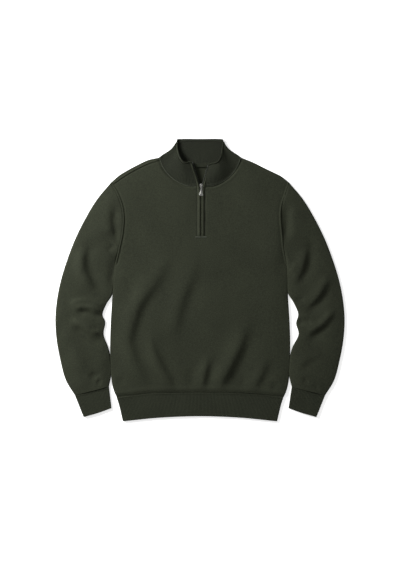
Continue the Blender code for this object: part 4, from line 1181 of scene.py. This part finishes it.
# Half of the plate's outline, from the collar's end to the hem's: half-width, y from its middle
PLATE_OUTLINE = [(0, 6.5), (1.8, 6.4), (3.1, 5.7), (3.9, 4.4), (4.0, 2.8), (3.6, 0.2), (3.2, -2.4),
                 (3.0, -4.8), (2.6, -6.0), (1.7, -6.5), (0, -6.5)]
POST = (1.1, 1.6, 5.6)      # half-width and ends of the post that joins the plates
FLANGE = (2.5, 3.2, -5.6, 1.0)   # inner and outer half-width, and its ends
FLANGE_DROP = 2.2           # from the slider's top to a flange's lower edge
INTO_PLATE = 0.5            # how far the post and flanges reach into a plate
PLATE_ROUND = 0.4
CAST_ROUND = 0.1
BRIDGE_LEGS = (253.6, 259.4)
BRIDGE_RISE = 3.4
BRIDGE_BAR = (0.85, 0.6)    # half-width and half-thickness of the loop's bar
BAR_ROUNDING = 0.6          # 1 makes its section an ellipse, and 0 a rectangle
LOOP_STEPS = 24
LOOP_SIDES = 12
PIVOT = (ZIP_X, 255.6, 11.6)
PULL_THICK = 1.2
PULL_ROUND = 0.28           # radius of its worn edges
# Half of the pull's outline, from the eye's end to the loose end: half-width, y from the pivot
PULL_OUTLINE = [(0, 0.6), (1.5, 0.58), (2.5, 0.3), (2.95, -0.5), (3.0, -2.0), (2.95, -8.0), (3.4, -13.0),
                (4.6, -19.0), (5.4, -22.2), (5.45, -23.2), (4.9, -24.0), (3.6, -24.4), (0, -24.4)]
EYE_OUTLINE = [(0, -0.6), (1.1, -0.65), (1.6, -1.2), (1.6, -4.8), (1.1, -5.5), (0, -5.6)]
PANEL_OUTLINE = [(0, -9.5), (1.4, -9.6), (2.0, -10.4), (2.5, -14.5), (3.5, -19.5), (4.0, -21.8), (3.4, -22.7),
                 (0, -22.8)]


def nickel_material():
    """Zinc casting, tumbled and nickel plated: satin, with faint scratches from wear."""
    material, tree, shader = new_material("nickel_plated_zinc", 0.3, metallic=1.0)
    place = add_node(tree, "ShaderNodeTexCoord").outputs["Object"]
    stretched = add_node(tree, "ShaderNodeMapping", {"Vector": place, "Scale": (1.0, 0.12, 1.0)})
    scratches = add_node(tree, "ShaderNodeTexNoise", {"Vector": stretched, "Scale": 2600.0, "Detail": 3.0})
    tone = add_node(tree, "ShaderNodeValToRGB", {"Fac": scratches}, [(0.35, "#8E8E89"), (0.65, "#C4C4BE")])
    tree.links.new(tone.outputs["Color"], shader.inputs["Base Color"])
    dull = add_node(tree, "ShaderNodeMath", {0: scratches, 1: 0.25, 2: 0.18}, operation="MULTIPLY_ADD")
    tree.links.new(dull.outputs["Value"], shader.inputs["Roughness"])
    bump = add_node(tree, "ShaderNodeBump", {"Height": scratches, "Strength": 0.3, "Distance": 0.00005})
    tree.links.new(bump.outputs["Normal"], shader.inputs["Normal"])
    return material


def both_halves(half):
    """A whole outline from its right half, which starts and ends on the middle line."""
    return half + [(-x, y) for x, y in half[-2:0:-1]]


def plate_piece(name, outlines, bottom, top, middle, rounding, material):
    """A flat plate with rounded edges; every outline after the first is a hole in it."""
    curve = bpy.data.curves.new(name, "CURVE")
    curve.dimensions = "2D"
    curve.fill_mode = "BOTH"
    curve.extrude = ((top - bottom) / 2 - rounding) * MM
    curve.bevel_depth = rounding * MM
    curve.bevel_resolution = 3
    curve.offset = -rounding * MM
    for outline in outlines:
        spline = curve.splines.new("POLY")
        spline.points.add(len(outline) - 1)
        spline.use_cyclic_u = True
        for point, (x, y) in zip(spline.points, outline):
            point.co = (x * MM, y * MM, 0, 1)
    mesh = finished_mesh(new_object(name + "_outline", curve))
    shape = bmesh.new()
    shape.from_mesh(mesh)
    bmesh.ops.remove_doubles(shape, verts=shape.verts, dist=0.00001)
    bmesh.ops.recalc_face_normals(shape, faces=shape.faces)
    place = (middle[0] * MM, middle[1] * MM, (top + bottom) / 2 * MM)
    bmesh.ops.translate(shape, vec=place, verts=shape.verts)
    shape.to_mesh(mesh)
    shape.free()
    mesh.shade_smooth()
    mesh.set_sharp_from_angle(angle=math.radians(35))
    mesh.materials.clear()
    mesh.materials.append(material)
    return new_object(name, mesh)


def joined_piece(pieces, name):
    """One piece from several that are cast in one."""
    whole = bmesh.new()
    for piece in pieces:
        whole.from_mesh(piece.data)
        bpy.data.objects.remove(piece)
    mesh = bpy.data.meshes.new(name)
    whole.to_mesh(mesh)
    whole.free()
    mesh.materials.append(nickel)
    mesh.set_sharp_from_angle(angle=math.radians(35))
    return new_object(name, mesh)


nickel = nickel_material()
slider_middle = (ZIP_X, SLIDER_Y)
slider_top = SLIDER_Z + SLIDER_HEIGHT
plate = both_halves(PLATE_OUTLINE)
post_half, post_low, post_high = POST
post = [(-post_half, post_low), (post_half, post_low), (post_half, post_high), (-post_half, post_high)]
parts = [
    plate_piece("top_plate", [plate], slider_top - PLATE, slider_top, slider_middle, PLATE_ROUND, nickel),
    plate_piece("bottom_plate", [plate], SLIDER_Z, SLIDER_Z + PLATE, slider_middle, PLATE_ROUND, nickel),
    plate_piece("post", [post], SLIDER_Z + INTO_PLATE, slider_top - INTO_PLATE, slider_middle,
                CAST_ROUND, nickel),
]
for side in (-1, 1):
    inner, outer, low, high = FLANGE
    flange = [(side * inner, low), (side * outer, low), (side * outer, high), (side * inner, high)]
    parts.append(plate_piece("flange", [flange], slider_top - FLANGE_DROP, slider_top - INTO_PLATE,
                             slider_middle, CAST_ROUND, nickel))
slider = joined_piece(parts, "zip_slider_body")
fit_out(slider, "zip_slider")

bridge_grid = []
near, far_leg = BRIDGE_LEGS
for i in range(LOOP_STEPS + 1):
    angle = math.pi * i / LOOP_STEPS
    arch = np.array([0, (near + far_leg) / 2 - (far_leg - near) / 2 * math.cos(angle),
                     slider_top - 0.1 + (BRIDGE_RISE + 0.1) * math.sin(angle)])
    outward = np.array([0, -math.cos(angle), math.sin(angle)])
    ring = []
    for j in range(LOOP_SIDES):
        turn = 2 * math.pi * j / LOOP_SIDES
        flat = np.sign(math.cos(turn)) * abs(math.cos(turn)) ** BAR_ROUNDING * BRIDGE_BAR[0]
        thick = np.sign(math.sin(turn)) * abs(math.sin(turn)) ** BAR_ROUNDING * BRIDGE_BAR[1]
        ring.append(arch + (ZIP_X + flat, 0, 0) + outward * thick)
    bridge_grid.append(ring)
bridge_grid = np.array(bridge_grid)
bridge = cloth_mesh("zip_pull_loop", bridge_grid, bridge_grid[..., :2] * MM, nickel, closed=True)
close_ends(bridge)
fit_out(bridge, "zip_bridge")

pull_top = PIVOT[2] + PULL_THICK / 2
pull_outline = both_halves(PULL_OUTLINE)
panel = both_halves(PANEL_OUTLINE)
tab = plate_piece("tab", [pull_outline, both_halves(EYE_OUTLINE)], PIVOT[2] - PULL_THICK / 2, pull_top,
                  PIVOT, PULL_ROUND, nickel)
raised = plate_piece("panel", [panel], PIVOT[2] - 0.2, pull_top + 0.3, PIVOT, 0.24, nickel)
pull = joined_piece([tab, raised], "zip_pull_tab")
fit_out(pull, "zip_pull", body="pull")
